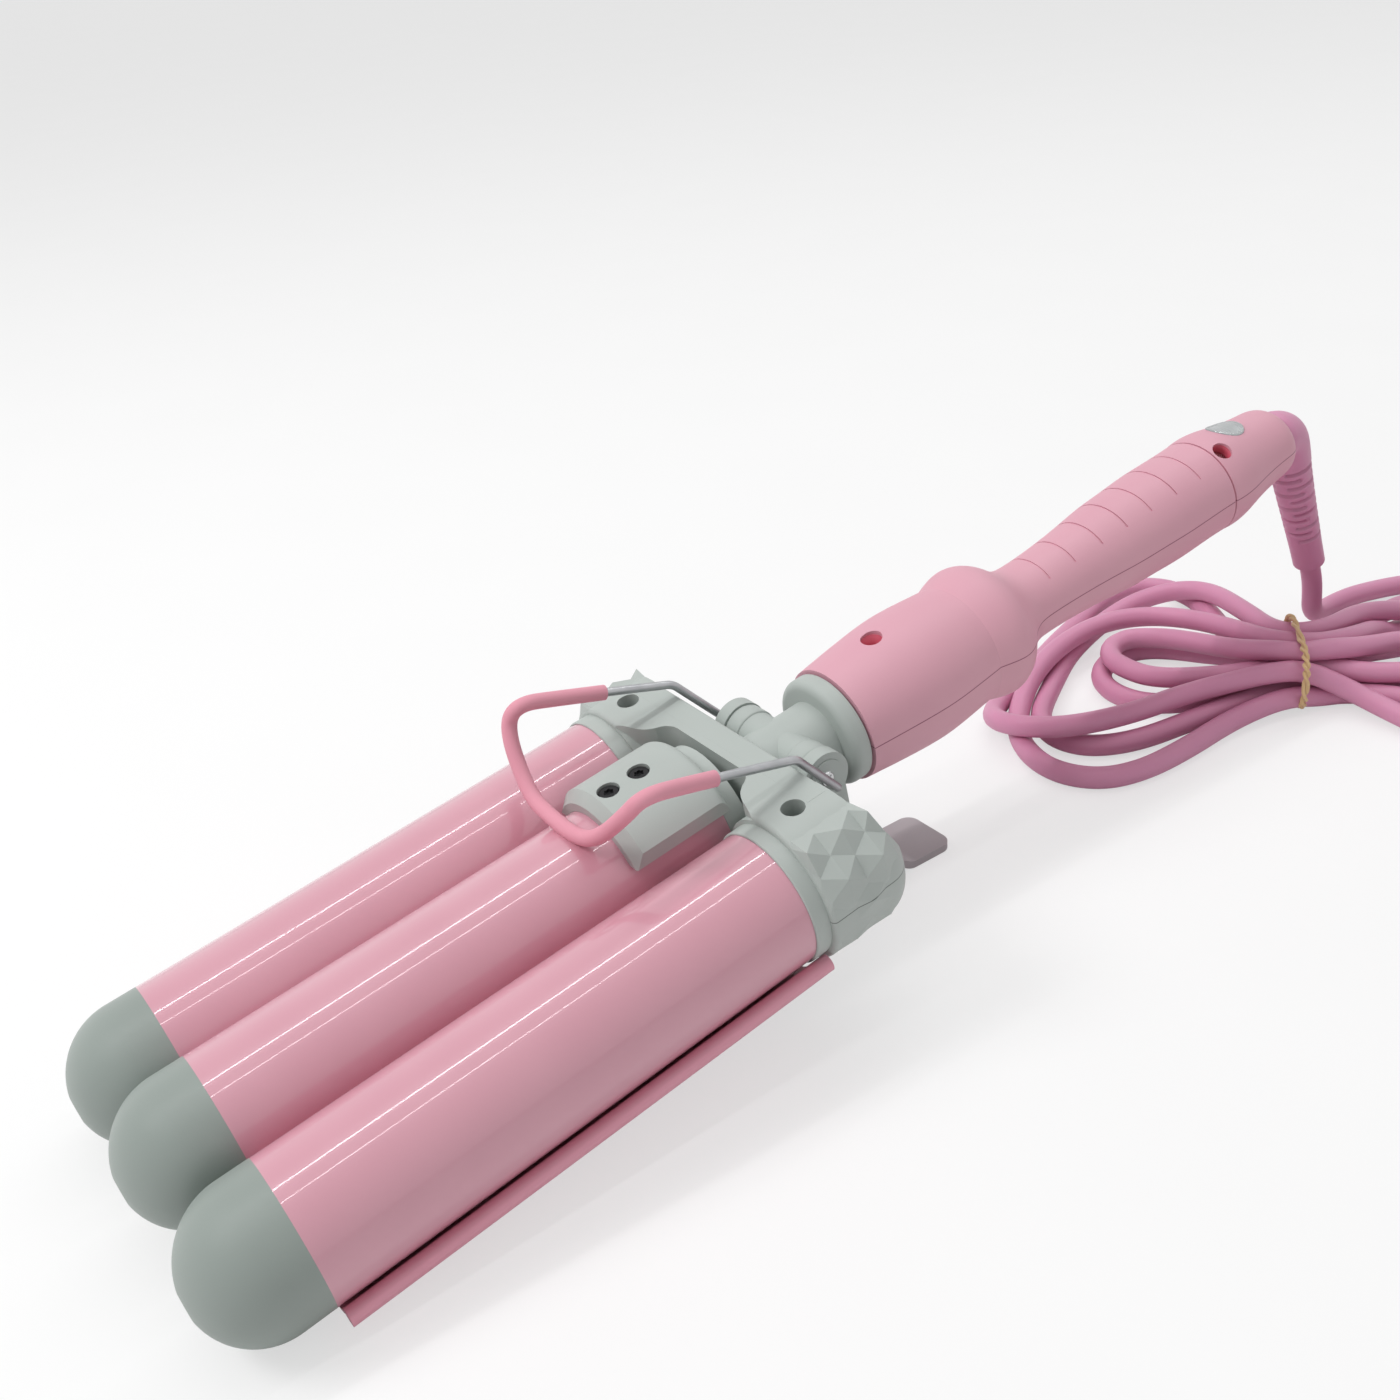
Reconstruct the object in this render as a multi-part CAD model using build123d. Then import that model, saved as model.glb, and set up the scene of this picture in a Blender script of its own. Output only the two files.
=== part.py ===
from build123d import *
import math
import os

# Three-barrel hair waver, in millimetres.
#
# The pieces are drawn in the tool's own axes: +X runs from the barrels to the handle, +Z is the
# side of the wire stand, the pink/grey seam of the outer tips is X = 0 and the outer barrel
# axes are Z = 0. The tool rests nose down on its wave plate and on its lever pad, so every
# finished piece is tilted by the angle between those two rests and moved until the middle of
# the lever pad's underside is the origin, with the table at Z = 0.

# ---------------------------------------------------------------- barrels
barrel_pitch = 32.5
barrel_diameter = 32.0
barrel_wall = 1.2
barrel_length = 124.5
middle_rise = 3.0
middle_barrel_setback = 3.5
tip_length = 22.0
tip_straight = 7.0
tip_nose_radius = 3.0
spigot_length = 8.0
face_fit = 0.1

# ---------------------------------------------------------------- heaters
spreader_start = 12.0
spreader_end_gap = 4.0
spreader_slot_width = 21.0
spreader_slot_height = 3.0
spreader_wall = 1.5
spreader_rib_width = 5.0
heater_inset = 8.5

# ---------------------------------------------------------------- yoke and collars
collar_length = 4.0
collar_radius = 16.5
collar_edge = 0.4
yoke_seat = 4.0
yoke_length = 21.1
yoke_radius = 18.0
yoke_rear_rounding = 9.0
yoke_front_edge = 1.2
yoke_split_height = 0.5
recess_half_width = 17.3
recess_depth = 8.8
recess_corner = 5.0
notch_flare = ((-1.5, 30.0), (0.0, 27.0), (1.6, 22.5), (3.6, 18.6), (5.6, 16.9), (7.4, 15.2), (8.8, 11.5))
notch_shell = 0.5
ear_bay_half_width = 18.4
ear_bay_depth = 0.7
yoke_screw_setback = 7.7
yoke_screw_inset = 0.4

# ---------------------------------------------------------------- faceted shoulders of the yoke
shoulder_reach = 3.2
shoulder_rounding = 7.0
shoulder_plan = ((2.0, 30.0), (12.1, 26.5), (24.3, 33.0), (24.3, 55.0), (2.0, 55.0))
facet_start = 1.0
facet_column_pitch = 4.94
facet_edge = 5.7
facet_rise = 0.9
facet_root = 2.5
facet_low_angle = -32.0
facet_high_angle = 78.0

# ---------------------------------------------------------------- neck and jaw pivot
neck_axis_height = 3.0
neck_radius = 9.4
neck_flat_depth = 8.2
tenon_length = 10.8
tenon_radius = 8.0
flange_setback = 11.6
flange_length = 4.8
flange_radius = 14.5
neck_spigot_length = 11.1
pivot_setback = 6.4
pivot_height = 6.0
pivot_base_radius = 6.0
pivot_base_reach = 9.5
hub_radius = 4.8
hub_reach = 17.9
hub_clearance = 0.05
pivot_screw_head_radius = 1.9
pivot_screw_shank_radius = 1.2
pivot_screw_head_depth = 1.2
pivot_screw_head_rise = 0.3
pivot_screw_length = 9.0
jaw_swing_gap = 0.5

# ---------------------------------------------------------------- jaw
ear_inner = 14.0
ear_outer = 17.6
ear_radius = 6.6
ear_front_reach = 6.0
ear_rear_reach = 5.0
arm_top = -19.0
arm_thickness = 4.0
arm_reach = 17.0
arm_half_width = 14.0
cradle_half_width = 11.0
bulkhead_thickness = 5.3
bulkhead_gap = 0.05
bulkhead_spigot = 8.0
saddle_radius = 20.5
saddle_half_width = 15.8
saddle_length = 26.0
saddle_setback = 4.3
saddle_skirt_height = 12.6
saddle_front_chamfer = 2.4
saddle_heel_rounding = 2.5
saddle_screw_setback = 5.9
saddle_screw_spacing = 8.4
saddle_screw_head_height = 1.2
screw_recess_radius = 2.7
screw_recess_depth = 1.8

# ---------------------------------------------------------------- wave plate
plate_thickness = 1.0
plate_front = 0.7
plate_collar_gap = 0.5
plate_middle_setback = 7.5
plate_gap = 0.9
plate_seat_gap = 0.3
plate_ridge_top = -1.6
wing_edge_height = -12.35
wing_lip_offset = 13.9
wing_lip_radius = 2.0
wing_lip_bore = 1.0
wing_lip_gap = 1.0

# ---------------------------------------------------------------- lever
lever_width = 17.0
lever_thickness = 2.0
lever_tab_reach = 20.0
lever_tab_overhang = 1.0
pad_reach = 34.0
pad_height = -47.6
pad_half_length = 7.2
pad_corner_radius = 3.5
lever_bend_radius = 5.0

# ---------------------------------------------------------------- springs
spring_wire_radius = 0.5
spring_coil_radius = 5.5
spring_start = 10.3
spring_pitch = 1.15
spring_turns = 2.5
spring_leg = 7.0

# ---------------------------------------------------------------- wire stand
wire_radius = 1.05
wire_hole_clearance = 0.05
stand_pivot_offset = 1.4
stand_pivot_height = 3.2
stand_tip_reach = 13.2
stand_leg_reach = 19.6
stand_knee = (-12.5, 23.7, 21.6)
stand_corner = (-52.4, 26.0, 38.6)
stand_drop = 18.6
stand_drop_direction = (-0.377, -0.926)
stand_lean = 7.0
stand_nose_half_width = 25.0
stand_tip_bend = 2.2
stand_knee_bend = 5.0
stand_corner_bend = 5.0
stand_nose_bend = 12.0
sleeve_radius = 1.75
sleeve_start = -31.4
sleeve_fit = 0.05

# ---------------------------------------------------------------- handle
handle_gap = 0.6
handle_wall = 2.0
bulb_shape = ((0.0, 15.3), (5.0, 15.9), (15.0, 17.0), (25.0, 17.6), (33.0, 17.2), (42.0, 16.4))
grip_shape = ((42.0, 16.4), (46.0, 17.7), (50.0, 18.3), (54.5, 16.7), (58.0, 13.8), (63.0, 11.1),
              (68.0, 10.6), (78.0, 10.9), (91.0, 12.0), (99.0, 12.9), (109.0, 13.45), (118.0, 13.9),
              (128.0, 13.9), (138.0, 14.0))
end_shape = ((0.6, 14.0), (8.0, 14.0), (15.0, 12.7), (22.0, 11.6), (28.0, 11.0), (32.0, 10.3),
             (34.5, 8.2))
end_step = 0.6
grip_line_places = (71.0, 80.5, 90.5, 99.7, 109.2, 119.2, 129.2)
grip_line_half_angle = 43.0
grip_line_width = 0.5
grip_line_depth = 0.35
handle_boss_radius = 4.6
handle_screw_hole_radius = 2.8
handle_screw_seat = 4.0
handle_screw_length = 11.0
front_screw_setback = 16.0
rear_screw_setback = 4.0
rear_screw_angle = -29.5
rear_boss_radius = 3.9
rear_boss_low = 3.5
rear_boss_high = 12.6
rear_screw_seat = 8.5
rear_screw_low = 4.0
screw_shank_radius = 1.4
screw_head_radius = 2.5
screw_head_height = 1.8
screw_fit = 0.05
badge_setback = 19.0
badge_y = 1.0
badge_radius = 6.5
badge_rise = 0.4
end_spigot_length = 6.0
spigot_fit = 0.25

# ---------------------------------------------------------------- controls
board_setback = 21.5
board_length = 26.5
board_half_width = 10.8
board_height = -5.0
board_thickness = 1.6
switch_height = 1.6
switch_radius = 1.5
window_setback = 21.8
window_length = 9.0
window_half_width = 5.5
window_thickness = 1.4
window_fit = 0.08
screen_inset = 0.5
button_setback = 36.2
button_spacing = 6.6
button_radius = 2.5
button_gap = 0.3
button_rise = 0.6
button_flange_overlap = 0.6
button_flange_height = 0.8
button_travel = 0.5

# ---------------------------------------------------------------- cord swivel and strain relief
swivel_radius = 6.0
swivel_clearance = 0.06
swivel_flange_radius = 8.2
swivel_flange_gap = 0.4
swivel_flange_thickness = 2.0
end_wall = 3.2
contact_block_length = 6.1
contact_block_gap = 0.3
contact_block_radius = 8.7
relief_corner_reach = 6.0
relief_end_reach = 18.3
relief_end_height = -49.5
relief_bend_radius = 7.0
relief_root_radius = 5.4
relief_end_radius = 4.65
relief_rib_first = 16.5
relief_rib_pitch = 2.75
relief_slot_count = 11
relief_slot_width = 1.1
relief_core_radius = 3.5
lead_wire_radius = 1.1
lead_wire_spacing = 4.4
lead_solder_length = 4.0

# ---------------------------------------------------------------- cord (lies on the table, row axes)
cord_diameter = 6.3
hank_centre = (139.5, -19.3)
hank_angle = -45.4
hank_height = 19.0
hank_edge = 3.0
lead_route = ((171.82, 0.0, 26.21), (174.18, 0.0, 20.47), (175.4, 0.1, 14.3), (176.4, 0.5, 8.8),
              (180.3, 1.6, 4.8), (187.2, 2.9, 3.3), (194.2, 3.2, 3.2))
tail_route = ((14.0, -10.0, 6.5), (25.0, -20.0, 4.4), (37.0, -32.0, 3.4), (50.0, -41.5, 3.8),
              (63.0, -46.5, 5.4), (75.0, -48.0, 6.85))
hank_outline = ((0.0, 16.5), (-16.0, 37.0), (-36.0, 64.0), (-55.0, 62.0), (-76.0, 36.0), (-90.0, -14.0),
                (-83.0, -42.0), (-60.0, -56.0), (-37.0, -45.0), (-18.0, -25.0), (0.0, -16.5),
                (22.0, -22.0), (55.0, -26.0), (88.0, -20.0), (102.0, 14.0), (92.0, 58.0), (68.0, 77.0),
                (44.0, 75.0), (20.0, 56.0), (8.0, 34.0))
tie_half_width = 17.6
tie_thickness = 1.3
tie_width = 4.0
tie_lift = 0.1
tie_fit = 0.3
plug_length = 35.3
plug_width = 26.0
plug_thickness = 13.7
plug_grip_length = 12.0
pin_radius = 2.0
pin_length = 19.0
pin_spacing = 18.6

# ---------------------------------------------------------------- worked out from the sizes above
barrel_radius = barrel_diameter / 2
barrel_bore = barrel_radius - barrel_wall
middle_barrel_length = barrel_length - middle_barrel_setback
spreader_length = middle_barrel_length - bulkhead_spigot - spreader_end_gap - spreader_start
yoke_front = barrel_length - yoke_seat
yoke_rear = yoke_front + yoke_length
shoulder_rear = yoke_rear + shoulder_reach
collar_front = yoke_front - collar_length
recess_rear = yoke_front + recess_depth
ear_bay_front = yoke_rear - ear_bay_depth
yoke_screw_x = yoke_front + yoke_screw_setback
yoke_screw_y = barrel_pitch - yoke_screw_inset
tenon_front = yoke_rear - tenon_length
pivot_x = yoke_rear + pivot_setback
flange_front = pivot_x + flange_setback
ear_front = pivot_x - ear_front_reach
ear_rear = pivot_x + ear_rear_reach
pad_x = pivot_x + pad_reach
stand_pivot_x = pivot_x + stand_pivot_offset
plate_inner = barrel_radius + plate_gap
plate_outer = plate_inner + plate_thickness
seat_inner = barrel_radius + plate_seat_gap
seat_outer = seat_inner + plate_thickness
arm_bottom = arm_top - arm_thickness
arm_front = middle_barrel_length - arm_reach
bulkhead_front = middle_barrel_length
bulkhead_rear = bulkhead_front + bulkhead_thickness
jaw_swing_clearance = pivot_x - bulkhead_rear - jaw_swing_gap
saddle_rear = bulkhead_rear - saddle_setback
saddle_front = saddle_rear - saddle_length
saddle_screw_places = (saddle_front + saddle_screw_setback,
                       saddle_front + saddle_screw_setback + saddle_screw_spacing)
plate_rear = collar_front - plate_collar_gap
plate_middle_rear = middle_barrel_length - plate_middle_setback
wing_lip_rear = yoke_front - wing_lip_gap
lever_tab_front = pivot_x - lever_tab_reach
lever_tab_rear = pivot_x + lever_tab_overhang
board_top = board_height + board_thickness
flange_rear = flange_front + flange_length
neck_spigot_end = flange_rear + neck_spigot_length
handle_front = flange_rear + handle_gap
handle_rear = handle_front + grip_shape[-1][0]
handle_end_rear = handle_rear + end_shape[-1][0]
bulb_profile = tuple((handle_front + x, radius) for x, radius in bulb_shape)
grip_profile = tuple((handle_front + x, radius) for x, radius in grip_shape)
end_profile = tuple((handle_rear + x, radius) for x, radius in end_shape)
front_screw_x = handle_front + front_screw_setback
rear_screw_x = handle_rear + rear_screw_setback
badge_x = handle_end_rear - badge_setback
board_front = handle_front + board_setback
board_rear = board_front + board_length
window_front = handle_front + window_setback
window_rear = window_front + window_length
button_x = handle_front + button_setback
button_flange_low = board_height - switch_height - button_travel - button_gap - button_flange_height
swivel_flange_front = handle_end_rear - end_wall - swivel_flange_gap - swivel_flange_thickness
contact_block_rear = swivel_flange_front - contact_block_gap
contact_block_front = contact_block_rear - contact_block_length
relief_corner_x = handle_end_rear + relief_corner_reach
relief_end_x = handle_end_rear + relief_end_reach
reach = 500
tilt = math.degrees(math.atan2(-plate_outer - pad_height, pad_x - plate_front))
outer_sides = {"near": -1, "far": 1}
cord_radius = cord_diameter / 2
swing = Vector(math.cos(math.radians(tilt)), 0, -math.sin(math.radians(tilt)))
pad_up = Vector(math.sin(math.radians(tilt)), 0, math.cos(math.radians(tilt)))

os.makedirs("parts", exist_ok=True)
solids = {}


# ---------------------------------------------------------------- plain helpers
def rod(start, end, radius, y=0.0, z=0.0):
    """Round bar along X."""
    return Pos((start + end) / 2, y, z) * Rot(0, 90, 0) * Cylinder(radius, end - start)


def cross_rod(start, end, radius, x, z):
    """Round bar along Y."""
    return Pos(x, (start + end) / 2, z) * Rot(90, 0, 0) * Cylinder(radius, end - start)


def post(start, end, radius, x, y):
    """Round bar along Z."""
    return Pos(x, y, (start + end) / 2) * Cylinder(radius, end - start)


def slab(x0, x1, y0, y1, z0, z1):
    """Box from its two corners."""
    return Pos((x0 + x1) / 2, (y0 + y1) / 2, (z0 + z1) / 2) * Box(x1 - x0, y1 - y0, z1 - z0)


def turned(profile_face, height):
    """Body of revolution about an X axis at the given height, from a face in the XZ plane."""
    return Pos(0, 0, height) * revolve(profile_face, Axis.X, 360)


def save(name, shape):
    """Tilt and move a piece from the tool's axes to its rest on the table, and keep it."""
    placed = Rot(0, -tilt, 0) * Pos(-pad_x, 0, -pad_height) * shape
    keep(name, placed)


def keep(name, shape):
    """Write one node's STEP file."""
    solids[name] = shape
    export_step(shape, "parts/" + name + ".step")


# ---------------------------------------------------------------- barrels, tips and heaters
def barrel(length):
    """Heated tube."""
    return rod(0, length, barrel_radius) - rod(-1, length + 1, barrel_bore)


def tip():
    """Cool tip: short cylinder, elliptical dome, small flat nose and a spigot in the tube."""
    dome_length = tip_length - tip_straight
    nose_angle = math.degrees(math.asin(tip_nose_radius / barrel_radius))
    dome = EllipticalCenterArc((-tip_straight, 0), dome_length, barrel_radius, start_angle=90,
                               arc_size=90 - nose_angle)
    nose_x = (dome @ 1).X
    outline = Wire([
        dome.edge(),
        Edge.make_line((nose_x, tip_nose_radius, 0), (nose_x, 0, 0)),
        Edge.make_line((nose_x, 0, 0), (spigot_length, 0, 0)),
        Edge.make_line((spigot_length, 0, 0), (spigot_length, barrel_bore - face_fit, 0)),
        Edge.make_line((spigot_length, barrel_bore - face_fit, 0), (0, barrel_bore - face_fit, 0)),
        Edge.make_line((0, barrel_bore - face_fit, 0), (0, barrel_radius, 0)),
        Edge.make_line((0, barrel_radius, 0), (-tip_straight, barrel_radius, 0)),
    ])
    return revolve(make_face(outline), Axis.X, 360)


def spreader():
    """Extruded aluminium spreader: a tube on three ribs that hold the slotted heater clamp."""
    end = spreader_start + spreader_length
    radius = barrel_bore - face_fit
    body = rod(spreader_start, end, radius) - rod(spreader_start - 1, end + 1, radius - spreader_wall)
    clamp_half_height = spreader_slot_height / 2 + spreader_wall
    body += slab(spreader_start, end, -radius + spreader_wall / 2, radius - spreader_wall / 2,
                 -clamp_half_height, clamp_half_height)
    rib = slab(spreader_start, end, -spreader_rib_width / 2, spreader_rib_width / 2,
               clamp_half_height - 1, radius - spreader_wall / 2)
    body += rib
    slot = slab(spreader_start - 1, end + 1, -spreader_slot_width / 2, spreader_slot_width / 2,
                -spreader_slot_height / 2, spreader_slot_height / 2)
    return body - slot


def heater():
    """Ceramic heater plate in the spreader's slot."""
    middle = spreader_start + spreader_length / 2
    half = spreader_length / 2 - heater_inset
    return slab(middle - half, middle + half, -spreader_slot_width / 2 + face_fit,
                spreader_slot_width / 2 - face_fit, -spreader_slot_height / 2 + face_fit,
                spreader_slot_height / 2 - face_fit)


def saddle_screw_bores():
    """Clearance bores of the two saddle screws, down to the middle of the spreader."""
    bores = [post(middle_rise + spreader_slot_height / 2, saddle_radius + middle_rise + 1,
                  screw_shank_radius + screw_fit, x, 0) for x in saddle_screw_places]
    return bores[0] + bores[1]


def make_barrels():
    for side, sign in outer_sides.items():
        place = Pos(0, sign * barrel_pitch, 0)
        save("barrel_" + side, place * barrel(barrel_length))
        save("tip_" + side, place * tip())
        save("heat_spreader_" + side, place * spreader())
        save("heater_" + side, place * heater())
        collar = rod(collar_front, collar_front + collar_length, collar_radius)
        front_edge = collar.edges().filter_by(GeomType.CIRCLE).sort_by(Axis.X)[0]
        collar = fillet(front_edge, collar_edge)
        collar -= rod(collar_front - 1, collar_front + collar_length + 1, barrel_radius + hub_clearance)
        save("collar_" + side, place * collar)
    place = Pos(0, 0, middle_rise)
    save("barrel_middle", place * barrel(middle_barrel_length) - saddle_screw_bores())
    save("tip_middle", place * tip())
    save("heat_spreader_middle", place * spreader() - saddle_screw_bores())
    save("heater_middle", place * heater())


# ---------------------------------------------------------------- yoke
def yoke_body():
    """Flattened housing across the three barrels, before it is split."""
    outline = Plane.YZ * SlotCenterToCenter(2 * barrel_pitch, 2 * yoke_radius)
    body = Pos(yoke_front, 0, 0) * extrude(outline, yoke_rear - yoke_front)
    rear_edges = body.edges().filter_by_position(Axis.X, yoke_rear - 0.01, yoke_rear + 0.01)
    body = fillet(rear_edges, yoke_rear_rounding)
    front_edges = body.edges().filter_by_position(Axis.X, yoke_front - 0.01, yoke_front + 0.01)
    body = fillet(front_edges, yoke_front_edge)
    return body


def notch():
    """Bell-shaped notch in the yoke's upper front edge, flaring out over the outer barrels."""
    half = [(yoke_front + x, y) for x, y in notch_flare]
    near = Spline(*[(x, -y) for x, y in half])
    far = Spline(*half[::-1])
    rear = Line(near @ 1, far @ 0)
    front = Line(far @ 1, near @ 0)
    plan = make_face(Wire([near.edge(), rear.edge(), far.edge(), front.edge()]))
    cutter = Pos(0, 0, yoke_split_height) * extrude(plan, yoke_radius)
    for sign in outer_sides.values():
        cutter -= rod(yoke_front - 2, recess_rear + 1, yoke_radius - notch_shell, sign * barrel_pitch)
    return cutter


def jaw_bay():
    """Space in the yoke that the swinging bulkhead needs."""
    upper = slab(yoke_front - 1, recess_rear, -recess_half_width, recess_half_width, -reach, reach)
    rear_corners = upper.edges().filter_by(Axis.Z).sort_by(Axis.X)[-2:]
    upper = fillet(rear_corners, recess_corner)
    lower = slab(yoke_front - 1, yoke_rear + 1, -recess_half_width, recess_half_width, -reach, pivot_height)
    lower -= cross_rod(-reach, reach, jaw_swing_clearance, pivot_x, pivot_height)
    ears = slab(ear_bay_front, shoulder_rear, -ear_bay_half_width, ear_bay_half_width, -reach, reach)
    return upper + lower + ears + notch()


def shoulder_radius(x):
    """Radius of the shoulder's surface about the outer barrel's axis at x."""
    past = max(0.0, x - (shoulder_rear - shoulder_rounding))
    return yoke_radius - shoulder_rounding + math.sqrt(shoulder_rounding ** 2 - past ** 2)


def shoulder():
    """Rounded rear corner of the yoke behind the far outer barrel."""
    body = rod(yoke_front, shoulder_rear, yoke_radius, barrel_pitch)
    rear_edge = body.edges().filter_by(GeomType.CIRCLE).sort_by(Axis.X)[-1]
    body = fillet(rear_edge, shoulder_rounding)
    plan = make_face(Polyline(*[(yoke_front + x, y) for x, y in shoulder_plan], close=True))
    return body & extrude(plan, 2 * yoke_radius, both=True)


def facet_point(column, row, rise):
    """Lattice point of the relief, wrapped round the far shoulder: columns lie along X."""
    x = yoke_front + facet_start + column * facet_column_pitch
    angle = (row + column / 2) * facet_edge / yoke_radius
    radius = shoulder_radius(min(x, shoulder_rear - 0.1)) + rise
    return Vector(x, barrel_pitch + radius * math.cos(angle), radius * math.sin(angle))


def facet_peak(column, row):
    """Hexagonal pyramid with flat sides: six corners in the surface, a peak and a buried root."""
    steps = ((0, 1), (1, 0), (1, -1), (0, -1), (-1, 0), (-1, 1))
    ring = [facet_point(column + i, row + j, 0) for i, j in steps]
    peak = facet_point(column, row, facet_rise)
    root = facet_point(column, row, -facet_root)
    faces = []
    for a, b in zip(ring, ring[1:] + ring[:1]):
        faces.append(Face(Wire.make_polygon([a, b, peak])))
        faces.append(Face(Wire.make_polygon([b, a, root])))
    return Solid(Shell(faces))


def facet_relief():
    """Triangular lattice of flat facets over the shoulder: every third lattice point is a peak."""
    peaks = []
    for column in range(1, 4):
        for row in range(-6, 8):
            angle = math.degrees((row + column / 2) * facet_edge / yoke_radius)
            if (column - row) % 3 == 0 and facet_low_angle < angle < facet_high_angle:
                peaks.append(facet_peak(column, row))
    return peaks


def make_yoke():
    far_shoulder = shoulder().fuse(*facet_relief())
    body = yoke_body() + far_shoulder + mirror(far_shoulder, Plane.XZ)
    body -= jaw_bay()
    body -= rod(tenon_front - hub_clearance, yoke_rear + 1, tenon_radius + hub_clearance, 0,
                neck_axis_height)
    screws = []
    for sign in outer_sides.values():
        body -= rod(yoke_front - 1, barrel_length + face_fit, barrel_radius + hub_clearance,
                    sign * barrel_pitch)
        y = sign * yoke_screw_y
        body -= post(barrel_radius / 2, yoke_radius + 1, handle_screw_hole_radius, yoke_screw_x, y)
        body -= post(-barrel_radius / 2, yoke_radius, screw_shank_radius + screw_fit, yoke_screw_x, y)
        head_seat = barrel_radius / 2
        head = post(head_seat, head_seat + screw_head_height, screw_head_radius, yoke_screw_x, y)
        shank = post(-barrel_radius / 2 + 1, head_seat, screw_shank_radius, yoke_screw_x, y)
        screws.append(head + shank)
    above = slab(0, reach, -reach, reach, yoke_split_height, reach)
    below = slab(0, reach, -reach, reach, -reach, yoke_split_height)
    save("yoke_upper", body & above)
    save("yoke_lower", body & below)
    save("yoke_screws", Compound(screws))


# ---------------------------------------------------------------- neck with the jaw's hubs
def stand_bore():
    """Blind bores for the stand's wire tips, from both sides."""
    start = stand_tip_reach - face_fit
    bore = wire_radius + wire_hole_clearance
    pair = cross_rod(start, hub_reach + 1, bore, stand_pivot_x, stand_pivot_height)
    return pair + mirror(pair, Plane.XZ)


def pivot_screw():
    """Pan-head screw in the near hub, flush with the hub's face."""
    seat = hub_reach - pivot_screw_head_depth
    head = cross_rod(seat, hub_reach + pivot_screw_head_rise, pivot_screw_head_radius, pivot_x, pivot_height)
    shank = cross_rod(hub_reach - pivot_screw_length, seat, pivot_screw_shank_radius, pivot_x, pivot_height)
    return head + shank


def make_neck():
    z = neck_axis_height
    neck = rod(tenon_front, ear_bay_front + 1, tenon_radius, 0, z)
    neck += rod(ear_bay_front + face_fit, flange_rear, neck_radius, 0, z)
    neck -= slab(ear_bay_front, flange_front, -neck_radius, neck_radius,
                 z - neck_radius - 1, z - neck_flat_depth)
    flange = rod(flange_front, flange_rear, flange_radius, 0, z)
    flange = fillet(flange.edges().filter_by(GeomType.CIRCLE).sort_by(Axis.X)[0], flange_length / 2.2)
    neck += flange
    inside = handle_radius_at(bulb_profile, handle_front) - handle_wall - face_fit
    neck += rod(flange_rear, neck_spigot_end, inside, 0, z)
    neck += cross_rod(-pivot_base_reach, pivot_base_reach, pivot_base_radius, pivot_x, pivot_height)
    neck += cross_rod(-hub_reach, hub_reach, hub_radius, pivot_x, pivot_height)
    neck -= rod(flange_rear - 2, neck_spigot_end + 1, inside - handle_wall, 0, z)
    neck -= stand_bore()
    screw = pivot_screw()
    screws = screw + mirror(screw, Plane.XZ)
    save("pivot_screws", screws)
    save("neck", neck - screws)


# ---------------------------------------------------------------- jaw
def make_saddle():
    z = middle_rise
    top = saddle_radius + z
    body = rod(saddle_front, saddle_rear, saddle_radius, 0, z)
    body &= slab(saddle_front, saddle_rear, -saddle_half_width, saddle_half_width,
                 saddle_skirt_height, top + 1)
    vault = body.edges().filter_by(lambda e: e.center().Z > saddle_radius)
    body = fillet(vault.sort_by(Axis.X)[-1], saddle_heel_rounding)
    body = chamfer(body.edges().filter_by_position(Axis.X, saddle_front, saddle_front + 0.01)
                   .sort_by(Axis.Z)[-1], saddle_front_chamfer)
    body -= rod(saddle_front - 1, saddle_rear + 1, barrel_radius + hub_clearance, 0, z)
    screws = []
    for x in saddle_screw_places:
        recess_floor = top - screw_recess_depth
        body -= post(recess_floor, top + 1, screw_recess_radius, x, 0)
        head = post(recess_floor, recess_floor + saddle_screw_head_height, screw_head_radius, x, 0)
        shank = post(z + spreader_slot_height, recess_floor, screw_shank_radius, x, 0)
        screws.append(head + shank)
    save("saddle", body - saddle_screw_bores())
    save("saddle_screws", Compound(screws))


def make_jaw_frame():
    z = middle_rise
    frame = rod(bulkhead_front + bulkhead_gap, bulkhead_rear, barrel_radius, 0, z)
    frame += rod(bulkhead_front - bulkhead_spigot, bulkhead_rear, barrel_bore - face_fit, 0, z)
    frame += slab(arm_front, ear_rear, -arm_half_width, arm_half_width, arm_bottom, arm_top)
    frame += slab(bulkhead_front + bulkhead_gap, bulkhead_rear, -cradle_half_width, cradle_half_width,
                  arm_top - 1, z)
    cradle = slab(arm_front, plate_middle_rear, -cradle_half_width, cradle_half_width, arm_top - 1, z)
    frame += cradle - rod(arm_front - 1, plate_rear, seat_outer + hub_clearance, 0, z)
    frame += slab(ear_front, ear_rear, -ear_outer, ear_outer, arm_bottom, arm_top)
    for sign in outer_sides.values():
        low, high = sorted((sign * ear_inner, sign * ear_outer))
        frame += cross_rod(low, high, ear_radius, pivot_x, pivot_height)
        frame += slab(ear_front, ear_rear, low, high, arm_bottom, pivot_height)
        frame -= cross_rod(low - 1, high + 1, hub_radius + hub_clearance, pivot_x, pivot_height)
    save("jaw_frame", frame)


def wave_section():
    """Section of the wave plate: two outer cradles and the middle seat, with curled lips."""
    outer = Circle(seat_outer)
    inner = Circle(seat_inner)
    outer = Pos(0, middle_rise) * outer
    inner = Pos(0, middle_rise) * inner
    for sign in outer_sides.values():
        outer += Pos(sign * barrel_pitch, 0) * Circle(plate_outer)
        inner += Pos(sign * barrel_pitch, 0) * Circle(plate_inner)
    below_ridges = Pos(0, plate_ridge_top - yoke_radius) * Rectangle(2 * barrel_pitch, 2 * yoke_radius)
    lip_y = barrel_pitch + wing_lip_offset
    below_wings = Pos(0, wing_edge_height - yoke_radius) * Rectangle(2 * lip_y, 2 * yoke_radius)
    return (outer - inner) & (below_ridges + below_wings)


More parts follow.
